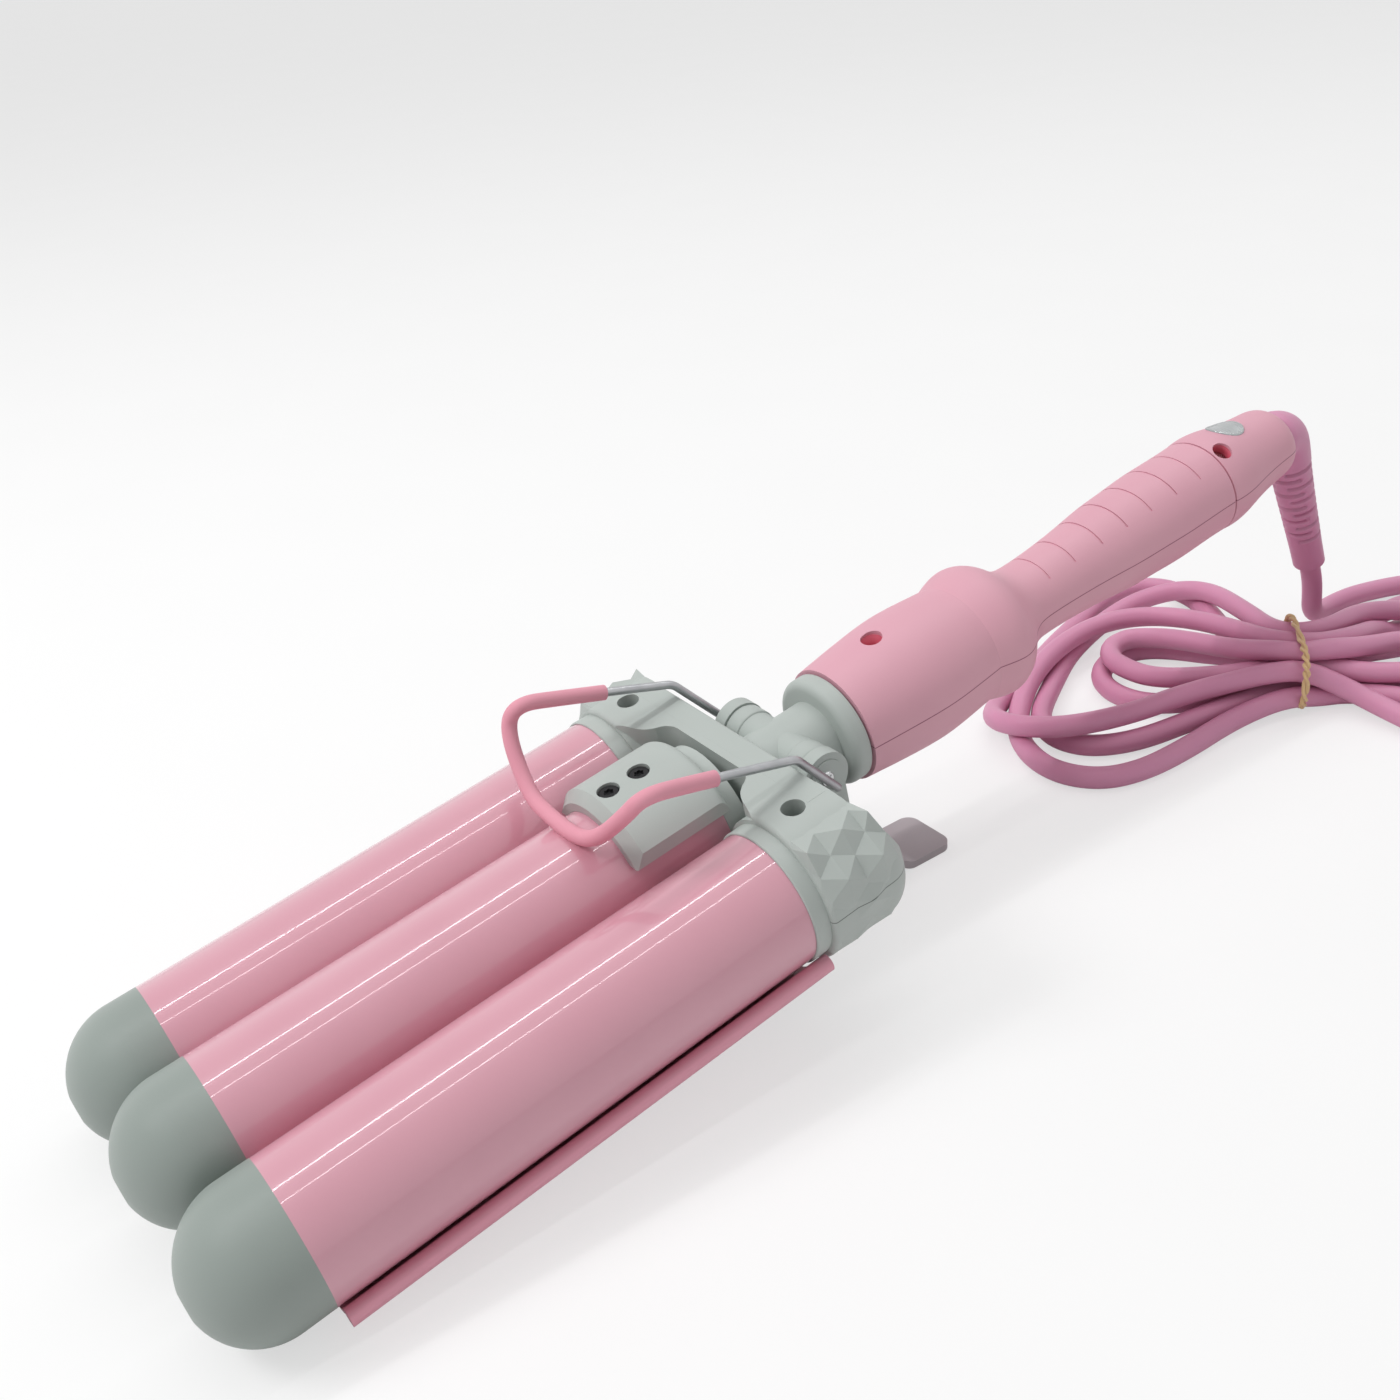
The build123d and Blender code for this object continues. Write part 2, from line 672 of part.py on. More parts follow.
def make_wave_plate():
    plate = Pos(plate_front, 0, 0) * extrude(Plane.YZ * wave_section(), plate_rear - plate_front)
    plate -= slab(plate_middle_rear, plate_rear + 1, -barrel_pitch, barrel_pitch, -plate_outer - 1, 0)
    lip_y = barrel_pitch + wing_lip_offset
    for sign in outer_sides.values():
        lip = rod(plate_front, wing_lip_rear, wing_lip_radius, sign * lip_y, wing_edge_height)
        plate += lip
        plate -= rod(plate_front - 1, wing_lip_rear + 1, wing_lip_bore, sign * lip_y, wing_edge_height)
    save("wave_plate", plate)


def make_lever():
    """Bent sheet lever: tab under the jaw's arm, slanting blade and a pad flat on the table."""
    pad_middle = Vector(pad_x, 0, pad_height) + pad_up * (lever_thickness / 2)
    tab_height = arm_bottom - lever_thickness / 2
    route = FilletPolyline((lever_tab_front, 0, tab_height), (lever_tab_rear, 0, tab_height),
                           pad_middle - swing * pad_half_length, pad_middle + swing * pad_half_length,
                           radius=lever_bend_radius)
    section = Plane(origin=route @ 0, x_dir=(0, 1, 0), z_dir=(1, 0, 0)) * Rectangle(
        lever_width, lever_thickness)
    lever = sweep(section, path=route)
    corners = lever.edges().filter_by(lambda e: abs(e.length - lever_thickness) < 0.01)
    lever = fillet(corners.sort_by(Axis.X)[-2:], pad_corner_radius)
    save("lever", lever)


def make_springs():
    """Closing springs: a coil on each hub, one leg to the neck's base and one to the jaw's arm."""
    coil_length = spring_turns * spring_pitch
    coil = Helix(spring_pitch, coil_length, spring_coil_radius)
    leg_down = Line(coil @ 0, (coil @ 0) - (coil % 0) * spring_leg)
    leg_up = Line(coil @ 1, (coil @ 1) + (coil % 1) * spring_leg)
    path = Wire([leg_down.edge(), coil.edge(), leg_up.edge()])
    section = Plane(origin=path @ 0, z_dir=path % 0) * Circle(spring_wire_radius)
    spring = sweep(section, path=path)
    at_near_hub = Pos(pivot_x, -spring_start, pivot_height) * Rot(90, 0, 0) * spring
    save("closing_springs", Compound([at_near_hub, mirror(at_near_hub, Plane.XZ)]))


# ---------------------------------------------------------------- wire stand
def stand_points():
    """Bend points of the stand's wire, from the near tip round to the far tip."""
    knee_x, knee_y, knee_z = stand_knee
    corner_x, corner_y, corner_z = stand_corner
    knee_x += stand_pivot_x
    corner_x += stand_pivot_x
    nose_x = corner_x + stand_drop * stand_drop_direction[0]
    nose_z = corner_z + stand_drop * stand_drop_direction[1]
    near = [(stand_pivot_x, -stand_tip_reach, stand_pivot_height),
            (stand_pivot_x, -stand_leg_reach, stand_pivot_height),
            (knee_x, -knee_y, knee_z),
            (corner_x, -corner_y, corner_z),
            (nose_x, stand_lean - stand_nose_half_width, nose_z)]
    far = [(nose_x, stand_lean + stand_nose_half_width, nose_z),
           (corner_x, corner_y, corner_z),
           (knee_x, knee_y, knee_z),
           (stand_pivot_x, stand_leg_reach, stand_pivot_height),
           (stand_pivot_x, stand_tip_reach, stand_pivot_height)]
    return near + far


def swept_wire(points, radii, radius):
    """Round wire through bend points, with a radius for each bend."""
    path = FilletPolyline(*points, radius=radii)
    return sweep(Plane(origin=path @ 0, z_dir=path % 0) * Circle(radius), path=path)


def make_stand():
    points = stand_points()
    bends = [stand_tip_bend, stand_knee_bend, stand_corner_bend, stand_nose_bend]
    save("stand_wire", swept_wire(points, bends + bends[::-1], wire_radius))
    knee, corner = Vector(*points[2]), Vector(*points[3])
    along = (stand_knee[0] - sleeve_start) / (stand_knee[0] - stand_corner[0])
    near_end = knee + (corner - knee) * along
    far_end = Vector(near_end.X, -near_end.Y, near_end.Z)
    sleeve_points = [near_end, points[3], points[4], points[5], points[6], far_end]
    sleeve_bends = [stand_corner_bend, stand_nose_bend, stand_nose_bend, stand_corner_bend]
    sleeve = swept_wire(sleeve_points, sleeve_bends, sleeve_radius)
    sleeve -= swept_wire(sleeve_points, sleeve_bends, wire_radius + sleeve_fit)
    save("stand_sleeve", sleeve)


# ---------------------------------------------------------------- handle
def profile_curve(points, inset):
    """Smooth outline through (x, radius) points, moved in by an inset."""
    return Spline(*[(x, r - inset) for x, r in points])


def handle_radius_at(points, x):
    """Radius of an outline at x, between its points."""
    for (x0, r0), (x1, r1) in zip(points, points[1:]):
        if x0 <= x <= x1:
            return r0 + (r1 - r0) * (x - x0) / (x1 - x0)
    return points[-1][1]


def turned_outline(curves, inset=0.0):
    """Solid of revolution about the handle's axis under one or more joined outlines."""
    edges = [profile_curve(points, inset).edge() for points in curves]
    start = edges[0] @ 0
    end = edges[-1] @ 1
    edges.append(Edge.make_line(end, (end.X, 0, 0)))
    edges.append(Edge.make_line((end.X, 0, 0), (start.X, 0, 0)))
    edges.append(Edge.make_line((start.X, 0, 0), start))
    return turned(make_face(Wire(edges)), neck_axis_height)


def button_holes(gap):
    """Round holes of the three buttons, below the handle's middle."""
    holes = [post(-reach, neck_axis_height - handle_wall, button_radius + gap, button_x, i * button_spacing)
             for i in (-1, 0, 1)]
    return holes[0] + holes[1] + holes[2]


def window_block(fit):
    """Column that the display window is cut from."""
    return slab(window_front + fit, window_rear - fit, -window_half_width + fit,
                window_half_width - fit, -reach, board_height)


def grip_lines():
    """Thin engraved arcs across the top of the grip."""
    lines = []
    for place in grip_line_places:
        x = handle_front + place
        radius = handle_radius_at(grip_profile, x)
        groove = Plane.XZ * Pos(x, radius) * Rectangle(grip_line_width, 2 * grip_line_depth)
        arc = revolve(groove, Axis.X, 2 * grip_line_half_angle)
        lines.append(Pos(0, 0, neck_axis_height) * Rot(-grip_line_half_angle, 0, 0) * arc)
    cutter = lines[0]
    for line in lines[1:]:
        cutter += line
    return cutter


def front_screw_bore(radius, low, high):
    return post(low, high, radius, front_screw_x, 0)


def make_handle():
    z = neck_axis_height
    outer = turned_outline((bulb_profile, grip_profile))
    inner = turned_outline((bulb_profile, grip_profile), handle_wall)
    inner += rod(handle_front - 1, handle_front + 1, handle_radius_at(bulb_profile, handle_front)
                 - handle_wall, 0, z)
    shell = outer - inner
    upper_half = slab(0, reach, -reach, reach, z, reach)
    lower_half = slab(0, reach, -reach, reach, -reach, z)

    upper = shell & upper_half
    boss_reach = handle_radius_at(bulb_profile, front_screw_x) - handle_wall / 2
    upper += front_screw_bore(handle_boss_radius, z, z + boss_reach)
    upper -= front_screw_bore(handle_screw_hole_radius, z + handle_screw_seat, z + 2 * boss_reach)
    upper -= front_screw_bore(screw_shank_radius + screw_fit, z - 1, z + handle_screw_seat + 1)
    upper -= grip_lines()
    save("handle_upper", upper)

    lower = shell & lower_half
    lower += front_screw_bore(handle_boss_radius, z - boss_reach, z)
    lower -= front_screw_bore(screw_shank_radius + screw_fit, z - handle_screw_length - 1, z + 1)
    rib_inner = board_half_width - 0.9
    for sign in outer_sides.values():
        low, high = sorted((sign * rib_inner, sign * board_half_width))
        rib = slab(board_front + 1, board_rear - 1, low, high, -reach, board_height)
        lower += rib & inner
    lower -= button_holes(button_gap)
    lower -= window_block(0)
    save("handle_lower", lower)

    window = (outer - turned_outline((bulb_profile,), window_thickness)) & window_block(window_fit)
    save("display_window", window)
    screen_top = board_height
    screen_radius = min(r for x, r in bulb_profile if window_front - 10 < x < window_rear + 10)
    screen_bottom = z - math.sqrt((screen_radius - window_thickness) ** 2 - window_half_width ** 2)
    save("display_module", slab(window_front + screen_inset, window_rear - screen_inset,
                                -window_half_width + screen_inset, window_half_width - screen_inset,
                                screen_bottom + face_fit, screen_top))

    board = slab(board_front, board_rear, -board_half_width, board_half_width, board_height, board_top)
    for i in (-1, 0, 1):
        board += post(board_height - switch_height, board_height, switch_radius, button_x,
                      i * button_spacing)
    save("control_board", board)

    proud = turned_outline((bulb_profile,), -button_rise)
    flange_low = button_flange_low
    for name, i in (("minus_button", -1), ("power_button", 0), ("plus_button", 1)):
        y = i * button_spacing
        button = post(-reach, flange_low + button_flange_height, button_radius, button_x, y) & proud
        button += post(flange_low, flange_low + button_flange_height,
                       button_radius + button_flange_overlap, button_x, y)
        save(name, button)


def rear_screw_axis(shape):
    """Turn a piece drawn along +Z above the handle's axis to the rear screw's angle."""
    return Pos(rear_screw_x, 0, neck_axis_height) * Rot(rear_screw_angle * -1, 0, 0) * shape


def make_handle_end():
    z = neck_axis_height
    outer = turned_outline((end_profile,))
    outer += rod(handle_rear, end_profile[0][0], end_profile[0][1] - end_step, 0, z)
    spigot_radius = grip_profile[-1][1] - handle_wall - spigot_fit
    outer += rod(handle_rear - end_spigot_length, handle_rear, spigot_radius, 0, z)
    inner = turned_outline((end_profile,), handle_wall)
    inner &= slab(0, handle_end_rear - end_wall, -reach, reach, -reach, reach)
    inner += rod(handle_rear - end_spigot_length - 1, end_profile[0][0] + 1, spigot_radius - handle_wall, 0, z)
    end = outer - inner
    end -= rod(handle_end_rear - end_wall - 1, handle_end_rear + 1, swivel_radius + swivel_clearance, 0, z)
    boss = rear_screw_axis(post(rear_boss_low, rear_boss_high, rear_boss_radius, 0, 0))
    end += boss
    end -= rear_screw_axis(post(rear_screw_seat, 2 * rear_boss_high, handle_screw_hole_radius, 0, 0))
    end -= rear_screw_axis(post(0, rear_screw_seat + 1, screw_shank_radius + screw_fit, 0, 0))
    save("handle_end", end)

    badge = turned_outline((end_profile,), -badge_rise) - turned_outline((end_profile,))
    badge &= post(z, reach, badge_radius, badge_x, badge_y)
    save("badge", badge)

    front_head = front_screw_bore(screw_head_radius, z + handle_screw_seat, z + handle_screw_seat + screw_head_height)
    front_shank = front_screw_bore(screw_shank_radius, z - handle_screw_length, z + handle_screw_seat)
    rear_head = rear_screw_axis(post(rear_screw_seat, rear_screw_seat + screw_head_height, screw_head_radius, 0, 0))
    rear_shank = rear_screw_axis(post(rear_screw_low, rear_screw_seat, screw_shank_radius, 0, 0))
    save("handle_screws", Compound([front_head + front_shank, rear_head + rear_shank]))

    block = rod(contact_block_front, contact_block_rear, contact_block_radius, 0, z)
    save("swivel_contact_block", block)

    wires = []
    for sign in outer_sides.values():
        wires.append(rod(board_rear - lead_solder_length, contact_block_front - face_fit, lead_wire_radius,
                         sign * lead_wire_spacing / 2, board_top + lead_wire_radius + face_fit))
    save("handle_leads", Compound(wires))


# ---------------------------------------------------------------- swivelling strain relief
def make_strain_relief():
    z = neck_axis_height
    start = swivel_flange_front + swivel_flange_thickness / 2
    corner = Vector(relief_corner_x, 0, z)
    end = Vector(relief_end_x, 0, relief_end_height)
    down = (end - corner).normalized()
    elbow_end = corner + down * relief_rib_first * 0.75
    path = FilletPolyline((start, 0, z), corner, elbow_end, radius=relief_bend_radius)
    relief = sweep(Plane(origin=path @ 0, z_dir=path % 0) * Circle(swivel_radius), path=path)
    relief += rod(swivel_flange_front, swivel_flange_front + swivel_flange_thickness,
                  swivel_flange_radius, 0, z)
    taper_length = (end - elbow_end).length
    along = Plane(origin=elbow_end, z_dir=down, x_dir=(0, 1, 0))
    taper = Cone(relief_root_radius, relief_end_radius, taper_length,
                 align=(Align.CENTER, Align.CENTER, Align.MIN))
    slot_start = relief_rib_first * 0.25
    for i in range(relief_slot_count):
        at = slot_start + i * relief_rib_pitch
        ring = Pos(0, 0, at) * (Cylinder(relief_root_radius + 1, relief_slot_width)
                                - Cylinder(relief_core_radius, relief_slot_width))
        bridge = Pos(0, 0, at) * Box(2 * relief_core_radius * 0.7, 20, 20)
        bridge = Rot(0, 0, 90 * (i % 2)) * bridge
        taper -= ring - bridge
    relief += along * taper
    save("strain_relief", relief)


# ---------------------------------------------------------------- cord, hank, tie and plug
def hank_place(du, dv, z):
    """Row point from a place along (du) and across (dv) the hank."""
    angle = math.radians(hank_angle)
    x = hank_centre[0] + du * math.cos(angle) - dv * math.sin(angle)
    y = hank_centre[1] + du * math.sin(angle) + dv * math.cos(angle)
    return (x, y, z)


def cord_tube(name, points):
    """Cord through hand-chosen points: each bend as large as its two runs allow."""
    route = [Vector(*p) for p in points]
    runs = [b - a for a, b in zip(route, route[1:])]
    radii = []
    for before, after in zip(runs, runs[1:]):
        half_turn = math.radians(before.get_angle(after)) / 2
        radii.append(0.45 * min(before.length, after.length) / math.tan(half_turn))
    path = FilletPolyline(*route, radius=radii)
    tube = sweep(Plane(origin=path @ 0, z_dir=path % 0) * Circle(cord_radius), path=path)
    expected = math.pi * cord_radius ** 2 * path.length
    print(name, "bend radii", [round(r, 1) for r in radii], "length", round(path.length, 1),
          "volume ratio", round(tube.volume / expected, 4))
    return tube


def make_cord():
    keep("cord_lead", cord_tube("cord_lead", lead_route))
    keep("cord_tail", cord_tube("cord_tail", [hank_place(*p) for p in tail_route]))

    outline = Spline(*[hank_place(u, v, 0)[:2] for u, v in hank_outline], periodic=True)
    hank = extrude(make_face(Wire([outline.edge()])), hank_height)
    hank = fillet(hank.edges().filter_by_position(Axis.Z, hank_height - 0.01, hank_height + 0.01), hank_edge)

    at_tie = Plane(origin=hank_place(0, 0, 0), x_dir=(-math.sin(math.radians(hank_angle)),
                                                    math.cos(math.radians(hank_angle)), 0),
                   z_dir=(math.cos(math.radians(hank_angle)), math.sin(math.radians(hank_angle)), 0))
    tie_height = hank_height + tie_thickness + tie_fit
    outer = RectangleRounded(2 * tie_half_width, tie_height - tie_lift, 6)
    inner = RectangleRounded(2 * (tie_half_width - tie_thickness), tie_height - tie_lift - 2 * tie_thickness,
                             6 - tie_thickness)
    middle = Pos(0, (tie_height + tie_lift) / 2)
    tie = extrude(at_tie * (middle * (outer - inner)), tie_width / 2, both=True)
    keep("cord_tie", tie)
    waist = RectangleRounded(2 * (tie_half_width - tie_thickness - tie_fit),
                             tie_height - tie_lift - 2 * (tie_thickness + tie_fit),
                             6 - tie_thickness - tie_fit)
    block = at_tie * (middle * Rectangle(4 * tie_half_width, 3 * tie_height))
    groove = extrude(block - at_tie * (middle * waist), tie_width / 2 + tie_fit, both=True)
    keep("cord_hank", hank - groove)


def make_plug():
    """Flat two-pin plug lying beside the hank."""
    start = tail_route[-1]
    along = Plane(origin=hank_place(*start), x_dir=(-math.sin(math.radians(hank_angle)),
                                                   math.cos(math.radians(hank_angle)), 0),
                  z_dir=(math.cos(math.radians(hank_angle)), math.sin(math.radians(hank_angle)), 0))
    grip = loft([along * RectangleRounded(cord_diameter + 4, cord_diameter + 3, 4),
                 along.offset(plug_grip_length) * RectangleRounded(plug_width, plug_thickness, 5)])
    body = extrude(along.offset(plug_grip_length) * RectangleRounded(plug_width, plug_thickness, 5),
                   plug_length - plug_grip_length)
    keep("plug", grip + body)
    pins = []
    for sign in outer_sides.values():
        pin_plane = along.offset(plug_length) * Pos(sign * pin_spacing / 2, 0)
        pins.append(extrude(pin_plane * Circle(pin_radius), pin_length))
    keep("plug_pins", Compound(pins))


make_barrels()
make_yoke()
make_neck()
make_saddle()
make_jaw_frame()
make_wave_plate()
make_lever()
make_springs()
make_stand()
make_handle()
make_handle_end()
make_strain_relief()
make_cord()
make_plug()
print("nodes", len(solids), "tilt", round(tilt, 3))
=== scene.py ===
import math
import bmesh
import bpy
import numpy as np
from mathutils import Matrix, Vector
from mathutils.kdtree import KDTree


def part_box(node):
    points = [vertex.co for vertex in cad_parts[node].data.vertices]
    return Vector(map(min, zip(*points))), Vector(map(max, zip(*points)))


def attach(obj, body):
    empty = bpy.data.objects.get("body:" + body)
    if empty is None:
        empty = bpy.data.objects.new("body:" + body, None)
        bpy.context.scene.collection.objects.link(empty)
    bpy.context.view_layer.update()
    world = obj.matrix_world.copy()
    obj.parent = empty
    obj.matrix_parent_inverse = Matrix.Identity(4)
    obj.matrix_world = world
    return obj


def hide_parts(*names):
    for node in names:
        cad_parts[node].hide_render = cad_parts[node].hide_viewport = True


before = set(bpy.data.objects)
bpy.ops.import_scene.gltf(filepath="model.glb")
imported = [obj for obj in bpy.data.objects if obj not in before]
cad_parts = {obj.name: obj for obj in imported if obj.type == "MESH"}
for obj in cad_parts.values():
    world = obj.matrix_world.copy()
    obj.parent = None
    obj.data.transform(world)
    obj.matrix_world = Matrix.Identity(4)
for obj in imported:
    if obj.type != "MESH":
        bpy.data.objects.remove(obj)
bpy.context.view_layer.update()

# Lengths are millimetres in the tool's own axes, as in the part's source, unless a name says
# otherwise: +X from the barrels to the handle, +Z to the side of the wire stand.
MM = 0.001
TILT = math.radians(9.303381)
# Foot of the lever's pad, on which the tool leans.
PAD_X, PAD_Z = 182.0, -47.6


# ---------------------------------------------------------------- places
def on_table(points):
    """Tool axes in mm to the row frame in m: moved to the lever's pad, then turned by the tilt."""
    p = np.asarray(points, float)
    x, y, z = p[..., 0] - PAD_X, p[..., 1], p[..., 2] - PAD_Z
    c, s = math.cos(TILT), math.sin(TILT)
    return np.stack([x * c - z * s, y, x * s + z * c], -1) * MM


def placed(name, data):
    """New object at the origin, in the scene."""
    thing = bpy.data.objects.new(name, data)
    bpy.context.scene.collection.objects.link(thing)
    return thing


HANK_CENTRE = (139.5, -19.3)
HANK_ANGLE = math.radians(-45.4)
HANK_ALONG = np.array([math.cos(HANK_ANGLE), math.sin(HANK_ANGLE), 0.0])
HANK_ACROSS = np.array([-math.sin(HANK_ANGLE), math.cos(HANK_ANGLE), 0.0])


def on_hank(points):
    """Along, across and height on the hank, in mm, to the row frame in m."""
    p = np.asarray(points, float)
    centre = np.array([*HANK_CENTRE, 0.0])
    up = np.array([0.0, 0.0, 1.0])
    place = centre + p[..., :1] * HANK_ALONG + p[..., 1:2] * HANK_ACROSS + p[..., 2:3] * up
    return place * MM


# ---------------------------------------------------------------- camera
PICTURE_PX, FOCAL_PX, SENSOR_MM = 1400, 1588.49, 36
SHIFT_PX = (-20, -100)
NEAREST_SEEN = 0.01
CAMERA_PLACE = Vector((-0.24007, -0.26198, 0.24782))
CAMERA_RIGHT = Vector((0.7974, -0.5997, -0.0679))
CAMERA_DOWN = Vector((-0.3120, -0.3133, -0.8969))
CAMERA_VIEW = Vector((0.5166, 0.7364, -0.4369))

camera_data = bpy.data.cameras.new("camera")
camera = placed("camera", camera_data)
turn = Matrix((CAMERA_RIGHT, -CAMERA_DOWN, -CAMERA_VIEW)).transposed()
camera.matrix_world = Matrix.Translation(CAMERA_PLACE) @ turn.to_4x4()
camera_data.sensor_width = SENSOR_MM
camera_data.lens = FOCAL_PX / PICTURE_PX * SENSOR_MM
camera_data.shift_x = SHIFT_PX[0] / PICTURE_PX
camera_data.shift_y = SHIFT_PX[1] / PICTURE_PX
camera_data.clip_start = NEAREST_SEEN
bpy.context.scene.camera = camera
bpy.context.scene.view_settings.view_transform = "Standard"


# ---------------------------------------------------------------- materials
def linear(colour):
    """sRGB hex colour to the linear values that a shader takes."""
    parts = [int(colour[i:i + 2], 16) / 255 for i in (1, 3, 5)]
    return [p / 12.92 if p <= 0.04045 else ((p + 0.055) / 1.055) ** 2.4 for p in parts] + [1.0]


def add(tree, kind, links=(), sets=(), **settings):
    """Add a node: settings go on it, sets on its sockets, links from (node, output) to a socket."""
    node = tree.nodes.new(kind)
    for key, value in settings.items():
        setattr(node, key, value)
    for socket, value in dict(sets).items():
        node.inputs[socket].default_value = value
    for socket, (source, output) in dict(links).items():
        tree.links.new(source.outputs[output], node.inputs[socket])
    return node


def blank(name, **shader_values):
    """New material with a Principled shader whose constant values stand on its own sockets."""
    material = bpy.data.materials.new(name)
    material.use_nodes = True
    tree = material.node_tree
    shader = tree.nodes["Principled BSDF"]
    for socket, value in shader_values.items():
        shader.inputs[socket.replace("_", " ")].default_value = value
    return material, tree, shader


def grain_of(tree, size_mm, detail=2.0, stretch=(1.0, 1.0, 1.0)):
    """Noise on Object coordinates whose grains are about size_mm across, drawn out by stretch."""
    place = add(tree, "ShaderNodeTexCoord")
    lay = add(tree, "ShaderNodeMapping", {"Vector": (place, "Object")}, {"Scale": stretch})
    return add(tree, "ShaderNodeTexNoise", {"Vector": (lay, "Vector")},
               {"Scale": 1 / (size_mm * MM), "Detail": detail, "Roughness": 0.55})


# Sockets of a Mix node that is set to RGBA: its two colours and its result.
MIX_FIRST, MIX_SECOND, MIX_RESULT = 6, 7, 2


def shade(tree, shader, low, high, clouds_mm=18.0):
    """Colour of the surface between two near tones, in soft clouds wider than any grain."""
    clouds = grain_of(tree, clouds_mm, 1.0)
    mix = add(tree, "ShaderNodeMix", {"Factor": (clouds, "Fac")}, data_type="RGBA")
    mix.inputs[MIX_FIRST].default_value = linear(low)
    mix.inputs[MIX_SECOND].default_value = linear(high)
    tree.links.new(mix.outputs[MIX_RESULT], shader.inputs["Base Color"])
    return mix


def rough(tree, shader, source, low, high):
    """Roughness that follows a pattern between two values."""
    span = add(tree, "ShaderNodeMapRange", {"Value": (source, "Fac")},
               {"To Min": low, "To Max": high})
    tree.links.new(span.outputs["Result"], shader.inputs["Roughness"])


def emboss(tree, shader, source, depth_mm):
    """Height pattern to the shader's normal; depth is the real height of the pattern."""
    bump = add(tree, "ShaderNodeBump", {"Height": (source, "Fac")},
               {"Strength": 1.0, "Distance": depth_mm * MM})
    tree.links.new(bump.outputs["Normal"], shader.inputs["Normal"])
    return bump


def moulded(name, low, high, grain_mm, depth_mm, rough_low, rough_high, **values):
    """Moulded or coated surface: near-even colour and a fine grain in height and gloss."""
    material, tree, shader = blank(name, **values)
    shade(tree, shader, low, high)
    grain = grain_of(tree, grain_mm)
    rough(tree, shader, grain, rough_low, rough_high)
    emboss(tree, shader, grain, depth_mm)
    return material


# Each call gives a name, two near tones, the grain's size and depth in mm, and the least and the
# greatest roughness.
# Ceramic lacquer on aluminium tube, sprayed and polished: deep even pink, long clean highlights
# and a very slight orange peel.
barrel_lacquer = moulded("barrel_ceramic_lacquer", "#CF92A2", "#D499A8", 2.2, 0.002, 0.26, 0.34,
                         Coat_Weight=0.9, Coat_Roughness=0.045)
# The same lacquer on the pressed plate, less polished.
plate_lacquer = moulded("wave_plate_ceramic_lacquer", "#DC92A5", "#E09AAC", 1.6, 0.004, 0.28, 0.38,
                        Coat_Weight=0.3, Coat_Roughness=0.2)
# Glass-filled PBT, moulded in a spark-eroded tool: sage grey with a fine even matte grain.
sage_pbt = moulded("sage_pbt_spark_eroded", "#ADB4B0", "#B4BBB7", 0.35, 0.012, 0.42, 0.55)
# The tips' heat-proof PPS, darker and a little glossier than the yoke.
tip_pps = moulded("tip_pps_satin", "#8C9590", "#939C97", 0.4, 0.008, 0.36, 0.46)
# Aluminium extrusion, mill finish: fine dull streaks, seen only down the plate's gaps.
mill_aluminium = moulded("spreader_mill_aluminium", "#B8BABC", "#C2C4C6", 0.5, 0.006, 0.3, 0.45,
                         Metallic=1.0)
# Alumina ceramic: chalk white and dry.
alumina = moulded("heater_alumina", "#E6E3DC", "#ECEAE4", 0.3, 0.006, 0.6, 0.7)
# Steel sheet under grey-mauve enamel: soft gloss over a slight orange peel.
lever_enamel = moulded("lever_grey_enamel", "#B0A8AC", "#B8B0B4", 1.2, 0.006, 0.3, 0.42)
# Flexible PVC jacket of the cord: purplish pink, satin, with a slight waxy unevenness.
cord_pvc = moulded("cord_pink_pvc", "#CD88A9", "#D492B1", 0.9, 0.012, 0.38, 0.5,
                   Subsurface_Weight=0.05, Subsurface_Radius=(0.003, 0.001, 0.001),
                   Subsurface_Scale=0.3)
# Silicone sleeve: pale pink, quite matt, slightly soft in the light.
sleeve_silicone = moulded("stand_sleeve_silicone", "#DC93A4", "#E29CAC", 0.5, 0.01, 0.5, 0.62)
# Nickel-plated brass: smooth and warm white.
pin_nickel = moulded("pin_nickel_plate", "#C9C5BC", "#D2CEC6", 0.8, 0.002, 0.16, 0.26, Metallic=1.0)
# Zinc-plated steel screws: bright with a faint satin.
screw_zinc = moulded("screw_zinc_plate", "#C4C5C6", "#CFD0D1", 0.3, 0.004, 0.2, 0.34, Metallic=1.0)
# Black-oxide steel screws: nearly black, soft gleam on the edges.
screw_black = moulded("screw_black_oxide", "#1C1C1E", "#262628", 0.25, 0.006, 0.32, 0.46,
                      Metallic=0.6)
# Glass-epoxy board with solder mask: dark green, glossy.
board_mask = moulded("board_solder_mask", "#17512F", "#1B5A35", 0.6, 0.004, 0.25, 0.35)
# Polycarbonate window, smoked: dark, clear gloss.
window_smoke = moulded("window_smoked_polycarbonate", "#17171A", "#1B1B1F", 3.0, 0.001, 0.05, 0.09)
# Insulation of the inner leads: dark PVC.
lead_pvc = moulded("lead_dark_pvc", "#2B2B2F", "#313136", 0.4, 0.005, 0.45, 0.55)
# Button caps: light grey ABS with a polished face.
button_abs = moulded("button_grey_abs", "#BFC3C0", "#C6CAC7", 0.5, 0.003, 0.24, 0.34)


def drawn_wire():
    """Bright drawn steel wire: grey metal with fine streaks and a satin gleam."""
    material, tree, shader = blank("stand_drawn_steel", Metallic=1.0)
    shade(tree, shader, "#9C9DA0", "#B6B7B9", 4.0)
    streaks = grain_of(tree, 0.6, 3.0, (0.25, 1.0, 1.0))
    rough(tree, shader, streaks, 0.24, 0.42)
    emboss(tree, shader, streaks, 0.008)
    return material


RING_RADIAN, WAVE_PHASE = 0.5, 20


